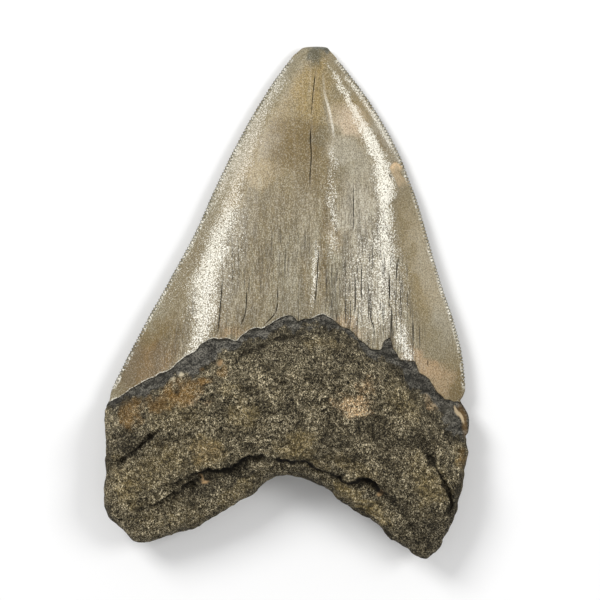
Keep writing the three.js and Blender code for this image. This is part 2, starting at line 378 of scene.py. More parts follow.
def lower_heights(xy, _to_edge, wall):
    """Heights of the flatter face before it is worn."""
    across = np.abs(crown_share(xy))
    side = edge_height(xy[:, 1])
    crown = side * across ** BACK_HOLLOW
    root = side * (1 - wall)
    return np.maximum(blend(crown, root, step(-xy[:, 1], 18, 30)), 0)


# ---------------------------------------------------------------- the mesh of both faces

FINE = 0.08  # spacing of the outline's own samples
OUTWARD_BLUR = 4.5  # run of the outline over which its outward directions are evened out
WALL_SPREAD = 4.5  # how far the root's outline is pushed out while its walls are triangulated
WALL_REACH = 9.0  # how far in from its outline the root's wall stays rounded
CROWN_SPACING = 0.125  # between the points of the cutting edges
ROOT_SPACING = 0.42  # between the points of the root's outline
RIM_ROWS = [(0.13, 0.14), (0.3, 0.17), (0.5, 0.22), (0.75, 0.28), (1.05, 0.34)]  # inset and spacing
RIM_GAP = 0.09  # least distance of an inner point from the outline
CLEARANCE = 0.6  # share of the grid's spacing that it keeps away from the outline and the finer rows


def point_tree(points):
    tree = KDTree(len(points))
    for i, (x, y) in enumerate(points):
        tree.insert((x, y, 0), i)
    tree.balance()
    return tree


class Outline:
    """The closed outline, finely sampled, with smooth outward directions and the spread of its root walls."""

    def __init__(self):
        runs = [smooth_curve(stretch, FINE)[:-1] for stretch in OUTLINE_STRETCHES]
        points = np.vstack(runs)
        low, high = points.min(0), points.max(0)
        self.points = (points - (low + high) / 2) * np.array([WIDTH, LENGTH]) / (high - low)
        ahead = np.roll(self.points, -1, 0) - np.roll(self.points, 1, 0)
        out = np.column_stack([ahead[:, 1], -ahead[:, 0]])
        out = self.blurred(out / np.hypot(*out.T)[:, None], OUTWARD_BLUR)
        self.out = out / np.hypot(*out.T)[:, None]
        self.rootness = step(-self.points[:, 1], 16, 33)
        self.spread = self.points + self.out * (WALL_SPREAD * self.rootness)[:, None]
        self.run = np.concatenate([[0], np.cumsum(np.hypot(*np.diff(self.points, axis=0).T))])
        self.tree = point_tree(self.spread)
        self.rim_tree = point_tree(self.points)

    def blurred(self, values, reach):
        half = int(reach / FINE)
        kernel = np.hanning(2 * half + 1)
        kernel /= kernel.sum()
        ring = np.vstack([values[-half:], values, values[:half]])
        return np.column_stack([np.convolve(column, kernel, "valid") for column in ring.T])

    def nearest(self, places):
        """For each place: the nearest sample of the spread outline, and the distance in from it."""
        found = [self.tree.find((x, y, 0))[1:] for x, y in places]
        index = np.array([f[0] for f in found])
        distance = np.array([f[1] for f in found])
        inward = np.einsum("ij,ij->i", self.spread[index] - places, self.out[index]) > 0
        return index, np.where(inward, distance, -distance)

    def boundary(self, crown_spacing, root_spacing):
        """Samples along the whole outline, close together on the crown and wider apart on the root."""
        spacing = blend(crown_spacing, root_spacing, self.rootness)
        count = np.concatenate([[0], np.cumsum(np.diff(self.run) / spacing[1:])])
        total = int(round(count[-1]))
        return np.unique(np.searchsorted(count, np.linspace(0, count[-1], total, endpoint=False)))


def hex_grid(low, high, spacing, seed):
    """A field of points in even triangles, each moved a little at random."""
    columns = np.arange(low[0], high[0], spacing)
    rows = np.arange(low[1], high[1], spacing * math.sqrt(0.75))
    x, y = np.meshgrid(columns, rows)
    x[1::2] += spacing / 2
    points = np.column_stack([x.ravel(), y.ravel()])
    return points + np.random.default_rng(seed).uniform(-0.12, 0.12, points.shape) * spacing


def side_rows(points, offsets, spacing):
    """Rows of points beside a path, one for each offset."""
    path = smooth_curve(points, spacing)
    ahead = np.gradient(path, axis=0)
    beside = np.column_stack([-ahead[:, 1], ahead[:, 0]]) / np.hypot(*ahead.T)[:, None]
    return [path + beside * offset for offset in offsets]


def rim_rows(outline):
    """Rows of points close inside the crown's cutting edges, where the serrations need them."""
    rows = []
    crown = np.flatnonzero(outline.rootness < 0.3)
    for inset, spacing in RIM_ROWS:
        every = max(1, int(round(spacing / FINE)))
        index = crown[::every]
        rows.append(outline.points[index] - outline.out[index] * inset)
    return rows


def layout_points(outline, spacing, lines, seed):
    """Inner points of one face in the spread layout, with finer rows along its edges and lines."""
    rows = rim_rows(outline) + lines
    special = np.vstack(rows)
    _index, inside = outline.nearest(special)
    special = special[inside > RIM_GAP]
    grid = hex_grid(outline.spread.min(0), outline.spread.max(0), spacing, seed)
    index, inside = outline.nearest(grid)
    margin = CLEARANCE * spacing + blend(RIM_ROWS[-1][0], 0, outline.rootness[index])
    grid = grid[inside > margin]
    tree = point_tree(special)
    far = np.array([tree.find((x, y, 0))[2] for x, y in grid])
    return np.vstack([special, grid[far > CLEARANCE * spacing]])


def triangulated(boundary, inner):
    """Triangles over the boundary's inside, as indexes into boundary + inner, and the inner points used."""
    points = [Vector(p) for p in np.vstack([boundary, inner]).tolist()]
    ring = [list(range(len(boundary)))]
    found = delaunay_2d_cdt(points, [], ring, 1, 1e-7)
    original = [ids[0] if ids else -1 for ids in found[3]]
    if -1 in original or len(found[0]) != len(points):
        raise RuntimeError("the outline crosses itself")
    triangles = np.array([[original[i] for i in face] for face in found[2]])
    corners = np.vstack([boundary, inner])[triangles]
    one, two = corners[:, 1] - corners[:, 0], corners[:, 2] - corners[:, 0]
    turned = one[:, 0] * two[:, 1] - one[:, 1] * two[:, 0] < 0
    triangles[turned] = triangles[turned][:, ::-1]
    used = np.zeros(len(points), bool)
    used[:len(boundary)] = True
    used[triangles] = True
    return (np.cumsum(used) - 1)[triangles], inner[used[len(boundary):]]


def folded_in(outline, inner):
    """Moves layout points to their true places, and gives their wall share and distance from the edge."""
    index, inside = outline.nearest(inner)
    rootness = outline.rootness[index]
    spread = WALL_SPREAD * rootness
    t = np.clip(inside / (WALL_REACH + spread), 0, 1)
    shift = rootness * WALL_REACH * (1 - np.cos(t * math.pi / 2) - t) + spread * (1 - t)
    places = inner - outline.out[index] * shift[:, None]
    return places, np.sin(t * math.pi / 2), np.maximum(inside - spread + shift, 0)


def neighbour_sums(triangles, count):
    """A function that averages values over each point's neighbours."""
    pairs = np.vstack([triangles[:, [0, 1]], triangles[:, [1, 2]], triangles[:, [2, 0]]])
    pairs = np.vstack([pairs, pairs[:, ::-1]])
    degree = np.bincount(pairs[:, 0], minlength=count)

    def average(values):
        return np.bincount(pairs[:, 0], values[pairs[:, 1]], minlength=count) / degree
    return average


def point_normals(points, triangles):
    """The direction out of each point. It isn't finite where both faces lie on each other next to the rim."""
    one = points[triangles[:, 1]] - points[triangles[:, 0]]
    two = points[triangles[:, 2]] - points[triangles[:, 0]]
    face = np.cross(one, two)
    normals = np.zeros_like(points)
    for corner in range(3):
        for axis in range(3):
            normals[:, axis] += np.bincount(triangles[:, corner], face[:, axis], minlength=len(points))
    return normals / np.linalg.norm(normals, axis=1)[:, None]


# ---------------------------------------------------------------- wear and marks on the faces, in millimetres

# Lower limit of the enamel on the flatter face, and the crest of the crown's fold on the rounded one
BACK_LIMIT = [(-43.5, -24), (-34, -21.5), (-22, -18.2), (-10, -15.8), (-2, -16.4), (6, -15.2), (16, -17),
              (30, -21), (43, -24.2)]
FOLD = [(8.9, 56), (9.4, 50), (10.3, 46.8), (11.1, 43), (11.6, 38.5), (11.5, 34), (10.9, 30.5), (11.6, 26),
        (12, 20), (11.8, 15), (11, 9), (10, 2)]

# Valleys of the crown's middle, sunk a little and darkened with painted shade: points, half width and
# strength
VALLEYS = [
    ([(9.9, 30.5), (9.6, 25), (9.3, 19), (9, 13), (9.2, 7.5), (9.9, 1.5), (11.6, -3.5)], 0.75, 0.9),
    ([(4.6, 14), (4.5, 6), (5.2, -1.5)], 0.9, 0.6),
    ([(8.4, 10), (8.5, 4), (8, -1.5)], 0.6, 0.6),
    ([(13.4, 6), (13.6, 1), (14.6, -5)], 0.7, 0.5),
]

# Patches of each mark: centre x and y, radii, turn in degrees and strength
ENAMEL_PATCHES = {
    # Olive-brown stains; those on the lower left corner also hold a painted shadow over the real brown stain
    "olive_stain_and_shade": [(2, 37.8, 7.8, 6.8, 0, 1), (7, 33, 4.6, 9, 0, 0.6), (17, 36.2, 4.4, 3.6, 0, 0.12),
              (3, 24, 9, 9, 0, 0.25), (-8.6, 26.4, 2.2, 3, 0, 0.3), (39.5, -12, 2.4, 6, 14, 0.15),
              (-12.5, -4.5, 7, 3.4, 20, 0.45), (-23.5, 9, 2.2, 13, -28, 0.5), (28, 16, 1.8, 6, 0, 0.15),
              (41.5, -21, 2, 4.5, 0, 0.8), (21.6, 41.5, 1.4, 7, 28, 0.7), (-36.5, -15, 5.5, 8, -25, 1),
              (-29.5, -10.5, 4, 8, -25, 1), (-6.5, 14, 4, 14, 0, 0.35)],
    "warm": [(5.4, 52, 5, 9, 0, 0.8), (-1, 44, 6, 5, 20, 0.5), (-5.6, 30.8, 4.2, 3.4, 20, 0.9),
             (15.5, 45.5, 5, 4.5, 30, 0.5), (-8.5, 36, 4, 16, -28, 0.7), (33, 8, 4, 14, 10, 0.3),
             (-7.5, 2, 4.5, 7, 0, 0.1)],
    "pale": [(-5.4, 30.6, 3.6, 2.6, 20, 0.3), (17, 22, 4.5, 7, 0, 0.6), (24, 40.5, 1.8, 6, 28, 0.3),
             (15, 43, 5, 3.4, -20, 0.55), (19, 30, 3.6, 7, 0, 0.35), (20, 7, 5.5, 14, 0, 0.4),
             (-8, 36, 3.5, 9, -30, 0.35), (14.6, 36.4, 4.6, 3.6, 0, 0.45), (35.2, 6, 3.2, 15, 16, 0.4),
             (1.5, 4, 1.6, 7, 0, 0.1), (5.4, 17, 3, 8, 0, 0.15)],
    "peach": [(11.5, 15, 1.3, 4, 0, 0.2), (15.5, 43.2, 4.4, 3, -20, 0.8), (33.6, -15.8, 6, 2.6, -45, 0.75),
              (37.6, -20, 3, 4, 0, 0.5), (-13, -7.4, 4.5, 1.5, 10, 0.6), (15.5, -6.6, 3.5, 1.8, -25, 0.5)],
    "cool": [(11.5, 6, 2.2, 10, 0, 0.7), (16, 34, 5, 4.5, 0, 0.5), (2, 8, 5, 13, 0, 0.3),
             (38.5, -9, 4, 6, 14, 0.5)],
    # Dark patches: a real stain at the tip, a painted shadow over the crown's lower left corner, and a faint
    # darker tone in the middle
    "dark_shade_and_stain": [(6.6, 59.4, 1.6, 3.2, 0, 1), (7.3, 61.9, 3, 0.9, 0, 1.2), (8.4, 39.6, 1.9, 3.4, 0, 0.35),
             (-38, -16, 3.6, 6, -25, 0.6), (-30.5, -12.5, 2, 5, -25, 0.45), (-35, -17.5, 4, 2.5, 25, 0.35),
             (-5, 9, 8.5, 18, 0, 0.09), (-4.5, -1.5, 9, 5.5, 0, 0.18)],
    "rust": [(-33.5, -15.4, 7.8, 4.4, 32, 0.85)],
}
BAND_PATCHES = {
    # Dark patches of the band; the one at its left end carries on the painted shadow of the crown's lower
    # left corner
    "dark_shade_and_stain": [(-40, -24.2, 3.5, 1.2, 20, 1), (-29.5, -18.4, 2.2, 1.2, 20, 0.7),
             (32, -19.2, 2.4, 1.6, -45, 0.5), (26, -11, 1.2, 2.2, 0, 0.3)],
    "rust": [(43, -29, 0.9, 3.5, 8, 0.6)],
    "pale": [(39, -26.4, 2.6, 1.6, -50, 0.03)],
}
# Flat pale pieces that are left on the band
BAND_CHIPS = {
    "pale": [(-25.6, -18.5, 2.6, 0.6, 27, 1), (-24.6, -17.7, 1, 0.6, 30, 0.9),
             (34.9, -24.2, 2.4, 0.55, -50, 0.4), (41.9, -27.6, 2.3, 0.5, -66, 0.5)],
    "peach": [(34.9, -24.2, 2.4, 0.55, -50, 0.8), (41.9, -27.6, 2.3, 0.5, -66, 0.8)],
}
ROOT_PATCHES = {
    "rust": [(-25.2, -21.8, 5, 2.6, 26, 0.85), (-20.8, -18.8, 2.4, 1.3, 20, 0.9),
             (-37.3, -26.8, 2.6, 3.4, 0, 0.8), (-30.6, -23.8, 3.4, 1.6, 20, 0.55),
             (-15.8, -15.6, 1.6, 1.5, 0, 0.6), (43, -37.6, 1.2, 2.6, 0, 0.5)],
    "peach": [(-22.4, -23.8, 2.6, 1.2, 10, 0.5), (-19, -35.4, 3, 3, 0, 0.2),
              (15.7, -24.7, 3.3, 3.1, -20, 1.2), (19.3, -19.4, 1.9, 1.6, 0, 0.6)],
    # Pale patches; the long one under the left ledge is a painted highlight on the lower lobe's rim
    "pale": [(-22.4, -23.6, 2.2, 1, 10, 0.6), (15.9, -24.9, 3, 2.8, -20, 1.5), (-28, -52, 9, 3.6, 12, 0.3),
             (-15.5, -46.6, 6, 2.2, 32, 0.6), (-30, -40.5, 6, 2.6, 35, 0.2)],
    "sand": [(-19, -35.4, 3.6, 3.8, 0, 0.9), (-9.9, -26.5, 3.2, 3, 0, 0.6), (2.4, -34.6, 4.6, 2.8, 20, 0.9),
             (15.5, -39.8, 6.5, 1.6, -32, 0.5), (7, -39, 3, 1.5, -30, 0.5), (34.5, -45, 3, 5, -20, 0.75),
             (31.5, -40, 2.5, 4, 20, 0.4), (19.8, -49.4, 6, 1.8, -38, 0.9),
             (14.3, -45.8, 3.4, 1.4, -36, 0.9), (42.6, -38, 1.6, 5, 5, 0.5),
             (-38.8, -43.5, 4, 5.5, 0, 0.55), (-30, -38.5, 7, 4, 30, 0.5),
             (-12.5, -45.8, 4.5, 2.2, 32, 0.6), (-27.5, -51, 9, 4, 10, 0.25), (-13, -20.5, 2.2, 2, 0, 0.45),
             (8.5, -10.2, 5, 1.4, -10, 0.5), (-26, -27, 6, 3, 10, 0.3), (28, -24, 5, 3.5, -30, 0.35)],
    # Dark patches, mostly painted shade: in the hollows under the ledges, under the band and on the sides
    # that turn away from the light
    "dark_shade_and_stain": [(-38.5, -33.5, 4.5, 3.6, 35, 0.7), (-33.5, -33.5, 5.5, 3.6, 35, 0.68),
             (1.5, -24.5, 4, 6.5, 0, 0.28), (9.6, -34.5, 5, 3.2, 0, 0.6), (24, -33, 4, 4, 0, 0.3),
             (34.8, -56, 6.8, 4.8, -30, 0.95), (29, -50, 5.5, 2.2, -38, 0.55), (3, -8.6, 5, 1.2, 0, 0.6),
             (-7, -10.8, 4.5, 1, 30, 0.5), (8, -14.5, 6, 3.2, 0, 0.55), (0, -12.3, 8, 3.2, 10, 0.6),
             (32.5, -33.5, 3, 2.6, -45, 0.6), (20, -44.6, 2.6, 1.6, -15, 0.9),
             (-12.6, -40.9, 5, 1.6, 28, 0.85), (-24, -46.4, 8.2, 2.3, 30, 0.85),
             (-16, -42.7, 6.5, 1.8, 28, 0.7), (42, -49, 1.6, 8, -14, 0.7), (19, -28, 1.5, 2.5, -20, 0.5)],
}
# Small threads and crumbs that cling to the root
CRUMBS = {
    "crumb": [(-20, -41.9, 0.4, 1.1, 12, 1), (-19.4, -43, 0.8, 0.3, 10, 1), (22.4, -45.8, 0.7, 0.5, 40, 1),
              (-16, -14.2, 0.8, 0.5, 30, 0.9)],
}

# Patches of the flatter face: mark, centre, radii, turn, strength, and size and seed of their ragged rims
BACK_PATCHES = [
    ("olive_stain_and_shade", (6, 20), (13, 22), 15, 0.7, 9, 43), ("warm", (-8, 38), (10, 14), 0, 0.8, 8, 44),
    ("sand", (-18, -36), (14, 8), 20, 0.7, 7, 45), ("rust", (24, -28), (9, 5), -20, 0.7, 6, 46),
    ("dark_shade_and_stain", (14, -44), (12, 8), 20, 0.6, 7, 47),
]


def limits(xy, back):
    """How far above the enamel's and the band's lower limits each place is."""
    ragged = 0.5 * hills(deep(xy), 2.4, 11, 3)
    if back:
        above = xy[:, 1] - line_value(BACK_LIMIT, xy[:, 0]) + 1.5 * ragged
        return above, above.copy()
    enamel = xy[:, 1] - line_value(ENAMEL_LIMIT, xy[:, 0]) + 0.6 * ragged
    band = xy[:, 1] - line_value(BAND_LIMIT, xy[:, 0]) + 1.8 * ragged
    return enamel, np.maximum(band, enamel)


def crack_depth(xy, cracks, taper_share, sharp):
    """Depth and painted shade of a set of cracks, tapering at their ends; the wide shallow ones get less
    shade.
    """
    depth = np.zeros(len(xy))
    dark = np.zeros(len(xy))
    for _name, points, half, deepest in cracks:
        side, along, run = path_field(xy, smooth_curve(points, 0.3))
        taper = step(along, 0, taper_share * run) * step(run - along, 0, taper_share * run)
        notch = (1 - step(np.abs(side), sharp * half, 1.2 * half)) * taper
        depth = np.maximum(depth, notch * deepest)
        dark = np.maximum(dark, notch * min(1, deepest / half / 2))
    return depth, dark


def patch_marks(xy, patches, rough, soft=0.5):
    """One share for each kind of mark, from ragged patches."""
    ragged = xy + np.column_stack([hills(deep(xy), 2.6, seed, 4, 0.6) for seed in (21, 22)]) * rough
    return {mark: np.max([strength * ellipse(ragged, (x, y), (wide, tall), turn, soft)
                          for x, y, wide, tall, turn, strength in rows], axis=0)
            for mark, rows in patches.items()}


def highlight_band(xy, band):
    """1 along the middle of a band of painted highlight that runs up the crown."""
    y, middle, half, strength = np.array(band).T
    place = xy[:, 1]
    ragged = 0.5 * hills(deep(xy), 1.8, 23, 3)
    off = (xy[:, 0] + ragged - np.interp(place, y, middle)) / np.interp(place, y, half)
    ends = step(place, y[0] - 1.5, y[0] + 0.5) * (1 - step(place, y[-1] - 2, y[-1] + 2))
    return np.exp(-0.8 * np.abs(off) ** 2.6) * np.interp(place, y, strength) * ends


def edge_shine(xy, to_edge):
    """1 along the strips of painted highlight just inside the upper cutting edges."""
    across = crown_share(xy)
    y = xy[:, 1]
    right = np.exp(-((to_edge - 1.2) / 0.7) ** 2) * step(across, 0, 0.2)
    right *= step(y, 30, 40) * (1 - step(y, 53, 57))
    left = np.exp(-((to_edge - 1.6) / 1.5) ** 2) * step(-across, 0, 0.2)
    left *= step(y, 10, 30) * (1 - step(y, 52, 57))
    return np.maximum(0.85 * right, 0.62 * left)


class Face:
    """One face of the tooth: its inner points, their heights and the marks that the finish reads."""

    def __init__(self, outline, boundary, spacing, lines, seed, back):
        inner = layout_points(outline, spacing, lines, seed)
        self.triangles, inner = triangulated(outline.spread[boundary], inner)
        self.layout = np.vstack([outline.spread[boundary], inner])
        places, wall, to_edge = folded_in(outline, inner)
        rim = outline.points[boundary]
        self.rim_count = len(rim)
        self.xy = np.vstack([rim, places])
        self.wall = np.concatenate([np.zeros(len(rim)), wall])
        self.to_edge = np.concatenate([np.zeros(len(rim)), to_edge])
        self.enamel, self.band = limits(self.xy, back)
        heights = (lower_heights if back else upper_heights)(self.xy, self.to_edge, self.wall)
        heights[:self.rim_count] = edge_height(rim[:, 1])
        heights = self.softened(heights, 0.35 if back else 0.6)
        self.inner = step(self.to_edge, 0.3, 2.5)
        self.on_enamel = step(self.enamel, -0.2, 0.2)
        self.on_root = 1 - step(self.band, -0.5, 0.3)
        self.marks = {}
        heights = (self.worn_back if back else self.worn_front)(heights)
        self.points = np.column_stack([self.xy, heights])

    def softened(self, heights, strength):
        """Evens out the creases where two root walls meet, and leaves the crown and the outline alone."""
        average = neighbour_sums(self.triangles, len(heights))
        share = step(-self.xy[:, 1], 30, 38) * strength
        share[:self.rim_count] = 0
        for _ in range(12):
            heights = blend(heights, average(heights), share)
        return heights

    def mark(self, name, share):
        self.marks[name] = np.maximum(self.marks.get(name, 0), share)

    def worn_front(self, heights):
        """Wears the rounded face: gives its new heights and sets its marks."""
        flaked = self.flaked()
        heights = heights - self.ledge_hollows() + self.crown_relief() - self.crack_hollows()
        heights -= 0.3 * flaked * self.on_enamel * step(self.to_edge, 0.1, 1.2)
        across = np.abs(crown_share(self.xy))
        band_step = 0.38 * step(-self.enamel, -0.1, 0.25) * (1 - 0.7 * self.on_root) * self.inner
        heights -= band_step * step(across, 1.05, 0.95)
        self.mark_highlights(flaked)
        self.mark_zones()
        self.mark_patches()
        return heights

    def ledge_hollows(self):
        """Depth of the hollows under the root's ledges. Their crevices get painted shade."""
        low = step(-self.xy[:, 1], 30, 34)
        hollow, inside = furrow(self.xy)
        self.mark("dark", inside * low * step(self.to_edge, 0.5, 1.5))
        return hollow * self.wall * low

    def crown_relief(self):
        """Height of the crown's flutes, waves, fold and valleys. The crest of the fold gets a painted
        highlight, and a strip beside it and the valleys get painted shade.
        """
        xy = self.xy
        flutes = hills(np.column_stack([xy[:, 0] / 1.3, xy[:, 1] / 26, 0 * xy[:, 0]]), 1.0, 31, 3)
        waves = hills(deep(xy), 15.0, 32, 2)
        side, along, run = path_field(xy, smooth_curve(FOLD, 0.5))
        fold = np.exp(-(side / 0.6) ** 2) * step(along, 0, 5) * step(run - along, 0, 22)
        relief = self.inner * (0.045 * flutes + 0.13 * waves + 0.16 * fold)
        crest = np.exp(-(side / 0.24) ** 2) * blend(0.35, 1, step(along, 4, 10)) * step(along, 0, 3)
        # painted highlight along the fold's crest
        self.mark("pale", 2.0 * crest * (1 - step(along, 14, 19)) * self.on_enamel)
        shade = np.exp(-((side + 0.8) / 0.35) ** 2) * step(along, 1, 8) * (1 - step(along, 12, 20))
        # painted shade in a strip beside the fold
        self.mark("dark_shade_and_stain", 0.4 * shade * self.on_enamel)
        for points, half, strength in VALLEYS:
            side, along, run = path_field(xy, smooth_curve(points, 0.5))
            ends = step(along, 0, 0.3 * run) * step(run - along, 0, 0.3 * run)
            valley = np.exp(-(side / half) ** 2) * ends
            relief -= 0.1 * valley
            # painted shade in the valleys, through the stain mark
            self.mark("olive_stain_and_shade", strength * valley * self.on_enamel)
        return relief * self.on_enamel

    def flaked(self):
        """1 where a flake is gone beside the right cutting edge. Its upper end is a fresh break."""
        side, along, run = path_field(self.xy, smooth_curve(FLAKE, 0.3))
        gone = step(-side, -0.05, 0.2) * (1 - step(-side, 1.5, 5.0))
        gone *= step(run - along, 0, 1.5) * step(along, 0, 5)
        ragged = self.xy[:, 1] + 0.8 * hills(deep(self.xy), 1.5, 28, 2) + 0.3 * side
        fresh = blend(0.3 * step(ragged, 26.0, 28.5), 0.85, step(ragged, 31.0, 32.0))
        self.mark("fresh", fresh * gone * self.on_enamel)
        return gone

    def crack_hollows(self):
        """Depth of the cracks in the enamel and of the grooves in the root."""
        crack, dark = crack_depth(self.xy, CRACKS, 0.25, 0.4)
        # painted shade in the cracks and grooves, deeper and narrower ones darker
        self.mark("dark", dark * self.on_enamel * step(hills(deep(self.xy), 1.4, 24, 2), -1.4, -0.4))
        groove, dark = crack_depth(self.xy, GROOVES, 0.2, 0.1)
        self.mark("dark", 0.9 * dark * self.on_root)
        return crack * self.on_enamel + groove * self.on_root

    def mark_highlights(self, flaked):
        """The painted highlights of the bands and sheens, which the flake interrupts, and of the strips along
        the upper edges.
        """
        bands = (MIDDLE_SHINE, RIGHT_SHINE, FOLD_SHINE, LEFT_SHINE, LOW_SHINE)
        shines = [highlight_band(self.xy, band) for band in bands]
        shines += [strength * ellipse(self.xy, centre, radii, turn, 0.5)
                   for centre, radii, turn, strength in SHEENS]
        shine = np.maximum(np.max(shines, axis=0) * (1 - flaked), edge_shine(self.xy, self.to_edge))
        self.mark("shine", shine * self.on_enamel)

    def mark_zones(self):
        """The fibrous middle with its splits, the left margin with its painted glints, the painted shade
        along the root's rolled rim, and the enamel's lip.
        """
        xy = self.xy
        x, y = xy.T
        across = crown_share(xy)
        fibrous = (0.15 + 0.85 * step(-y, -40, -14)) * (0.7 + 0.3 * step(x, 5, 14))
        self.mark("fibre", fibrous * (1 - step(across, 0.66, 0.8)) * (1 - step(-across, 0.74, 0.9)))
        split = step(-y, -27, -8) * step(hills(deep(xy), 7.0, 27, 2), -0.9, 0.1)
        self.mark("split", split * blend(0.7, 1, step(x, 5, 12)) * (1 - step(np.abs(across), 0.7, 0.84)))
        margin = (1 - step(self.to_edge, 2.0, 6.0)) * step(-across, 0, 0.3) * self.on_enamel
        self.mark("cool", 0.7 * margin)
        self.mark("glint", margin * step(y, -10, 2) * (1 - step(y, 45, 55)))
        # painted shade along the root's outline, where its rim rolls away
        rolled = 1 - step(self.to_edge + 0.5 * hills(deep(xy), 3.0, 26, 2), 0.4, 2.6)
        self.mark("dark_shade_and_stain", rolled * self.on_root * blend(0.55, 1.0, step(x, -5, 15)) * step(-y, 26, 36))
        self.mark("lip", step(-x, -4, 3) + ellipse(xy, (8.8, -3.4), (3.0, 2.0)))

    def mark_patches(self):
        """The patches listed above, each kept to its own part of the tooth."""
        xy = self.xy
        below = 1 - self.on_enamel
        on_crown = patch_marks(xy, ENAMEL_PATCHES, 0.9)
        top = np.where(xy[:, 0] < 12.5, 43.9, 40.2) + 0.5 * hills(deep(xy), 2.0, 25)
        on_crown["olive_stain_and_shade"] *= step(top - xy[:, 1], -0.6, 0.5)
        for marks, where in ((on_crown, self.on_enamel), (patch_marks(xy, BAND_PATCHES, 0.35), below),
                             (patch_marks(xy, BAND_CHIPS, 0.25, 0.25), below),
                             (patch_marks(xy, ROOT_PATCHES, 1.1), self.on_root),
                             (patch_marks(xy, CRUMBS, 0.1), self.on_root)):
            for name, share in marks.items():
                self.mark(name, share * where)

    def worn_back(self, heights):
        """Wears the flatter face: gives its new heights and sets its marks."""
        xy = self.xy
        waves = hills(deep(xy), 16.0, 41, 2)
        flutes = hills(np.column_stack([xy[:, 0] / 1.6, xy[:, 1] / 20, 0 * xy[:, 0]]), 1.0, 42, 3)
        dent = ellipse(xy, (0, -30), (17, 12), 0, 0.8) * 0.9
        relief = 0.28 + 0.22 * waves + self.on_enamel * 0.04 * flutes + dent
        self.mark("fibre", 0.6 * step(-xy[:, 1], -40, -14))
        middle = 1 - step(np.abs(crown_share(xy)), 0.6, 0.85)
        split = step(-xy[:, 1], -24, -6) * step(hills(deep(xy), 7.0, 48, 2), -0.4, 0.5)
        self.mark("split", 0.6 * middle * split)
        # painted sheen in patches on the flatter face's enamel
        self.mark("shine", 0.45 * self.on_enamel * step(hills(deep(xy), 12.0, 49, 2), -0.2, 0.9))
        for mark, centre, radii, turn, strength, size, seed in BACK_PATCHES:
            ragged = xy + 2 * hills(deep(xy), size, seed)[:, None]
            self.mark(mark, strength * ellipse(ragged, centre, radii, turn, 0.7))
        return np.maximum(heights + relief * step(self.to_edge, 1.0, 5.0), 0)


# Lines that need rows of points beside them: points, offsets of the rows, and spacing along them
FINE_LINES = [
    (FLAKE, (0, -0.18), 0.25),
    (FOLD[:5], (-0.8, -0.4, -0.15, 0.15, 0.4), 0.3),
    (LEDGE, (-0.4, -0.2, 0, 0.2, 0.45, 0.7), 0.28),
    (SECOND_LEDGE, (-0.3, 0, 0.25, 0.5), 0.28),
]
CRACK_ROWS = (-1.2, -0.4, 0.4, 1.2)  # as shares of the crack's half width
GROOVE_ROWS = (-1, -0.5, 0, 0.5, 1)


def fine_rows():
    """Rows of points along the cracks, grooves, ledges, fold and flake of the rounded face."""
    rows = []
    for cracks, shares in ((CRACKS, CRACK_ROWS), (GROOVES, GROOVE_ROWS)):
        for _name, points, half, _depth in cracks:
            rows += side_rows(points, [share * half for share in shares], 0.3)
    for points, offsets, spacing in FINE_LINES:
        rows += side_rows(points, offsets, spacing)
    return rows


def tooth_arrays(sizes):
    """Points in millimetres, triangles, and the marks and bake map of the whole tooth."""
    outline = Outline()
    boundary = outline.boundary(CROWN_SPACING, ROOT_SPACING)
    front = Face(outline, boundary, sizes.front_spacing / MM, fine_rows(), 3, False)
    back = Face(outline, boundary, sizes.back_spacing / MM, [], 4, True)
    rim = len(boundary)
    points = np.vstack([front.points, back.points[rim:]])
    renumber = np.concatenate([np.arange(rim), len(front.points) + np.arange(len(back.points) - rim)])
    triangles = np.vstack([front.triangles, renumber[back.triangles][:, ::-1]])
    marks = {}
    for name in sorted(front.marks.keys() | back.marks.keys()):
        on_front, on_back = (face.marks.get(name, 0) * np.ones(len(face.points)) for face in (front, back))
        marks[name] = np.concatenate([on_front, on_back[rim:]])
    marks["above_enamel_limit"] = np.concatenate([front.enamel, back.enamel[rim:]])
    marks["above_band_limit"] = np.concatenate([front.band, back.band[rim:]])
    on_root = 1 - step(marks["above_band_limit"], -0.6, 0.4)
    index, distance = rim_places(outline, points)
    points = roughened(points, triangles, on_root, distance)
    edge_marks(outline, points, index, distance, marks)
    layout = np.vstack([front.layout, back.layout[rim:]])
    return points, triangles, marks, layout, np.arange(len(triangles)) >= len(front.triangles)


def rim_places(outline, points):
    """For each point: the nearest sample of the outline, and the distance to it across the plane."""
    found = [outline.rim_tree.find((x, y, 0))[1:] for x, y, _z in points]
    return np.array([f[0] for f in found]), np.array([f[1] for f in found])


def roughened(points, triangles, on_root, to_rim):
    """Lumps, grains and pits on the root, pushed in from the smooth shape, and faint wear on the crown."""
    normals = point_normals(points, triangles)
    lumps = hills(points, 7.0, 61, 3, 0.55)
    knobs = hills(points, 3.2, 65, 2, 0.6)
    grains = hills(points, 1.5, 62, 2, 0.7)
    pits = step(hills(points, 2.2, 63, 2), 0.4, 0.85)
    calm = blend(0.35, 1, step(to_rim, 0.2, 2.5))
    rough = 0.42 * lumps - 0.35 + calm * (0.22 * knobs + 0.22 * grains - 0.6 * pits)
    faint = 0.02 * hills(points, 1.1, 64, 2) - 0.02
    flat = step(points[:, 2], 0.0, 1.2)
    push = blend(faint, rough, on_root) * blend(0.15, 1, flat)
    moved = points + normals * push[:, None]
    low = np.array([-WIDTH / 2, -LENGTH / 2, 0])
    high = np.array([WIDTH / 2, LENGTH / 2, HEIGHT])
    return np.clip(moved, low, high)


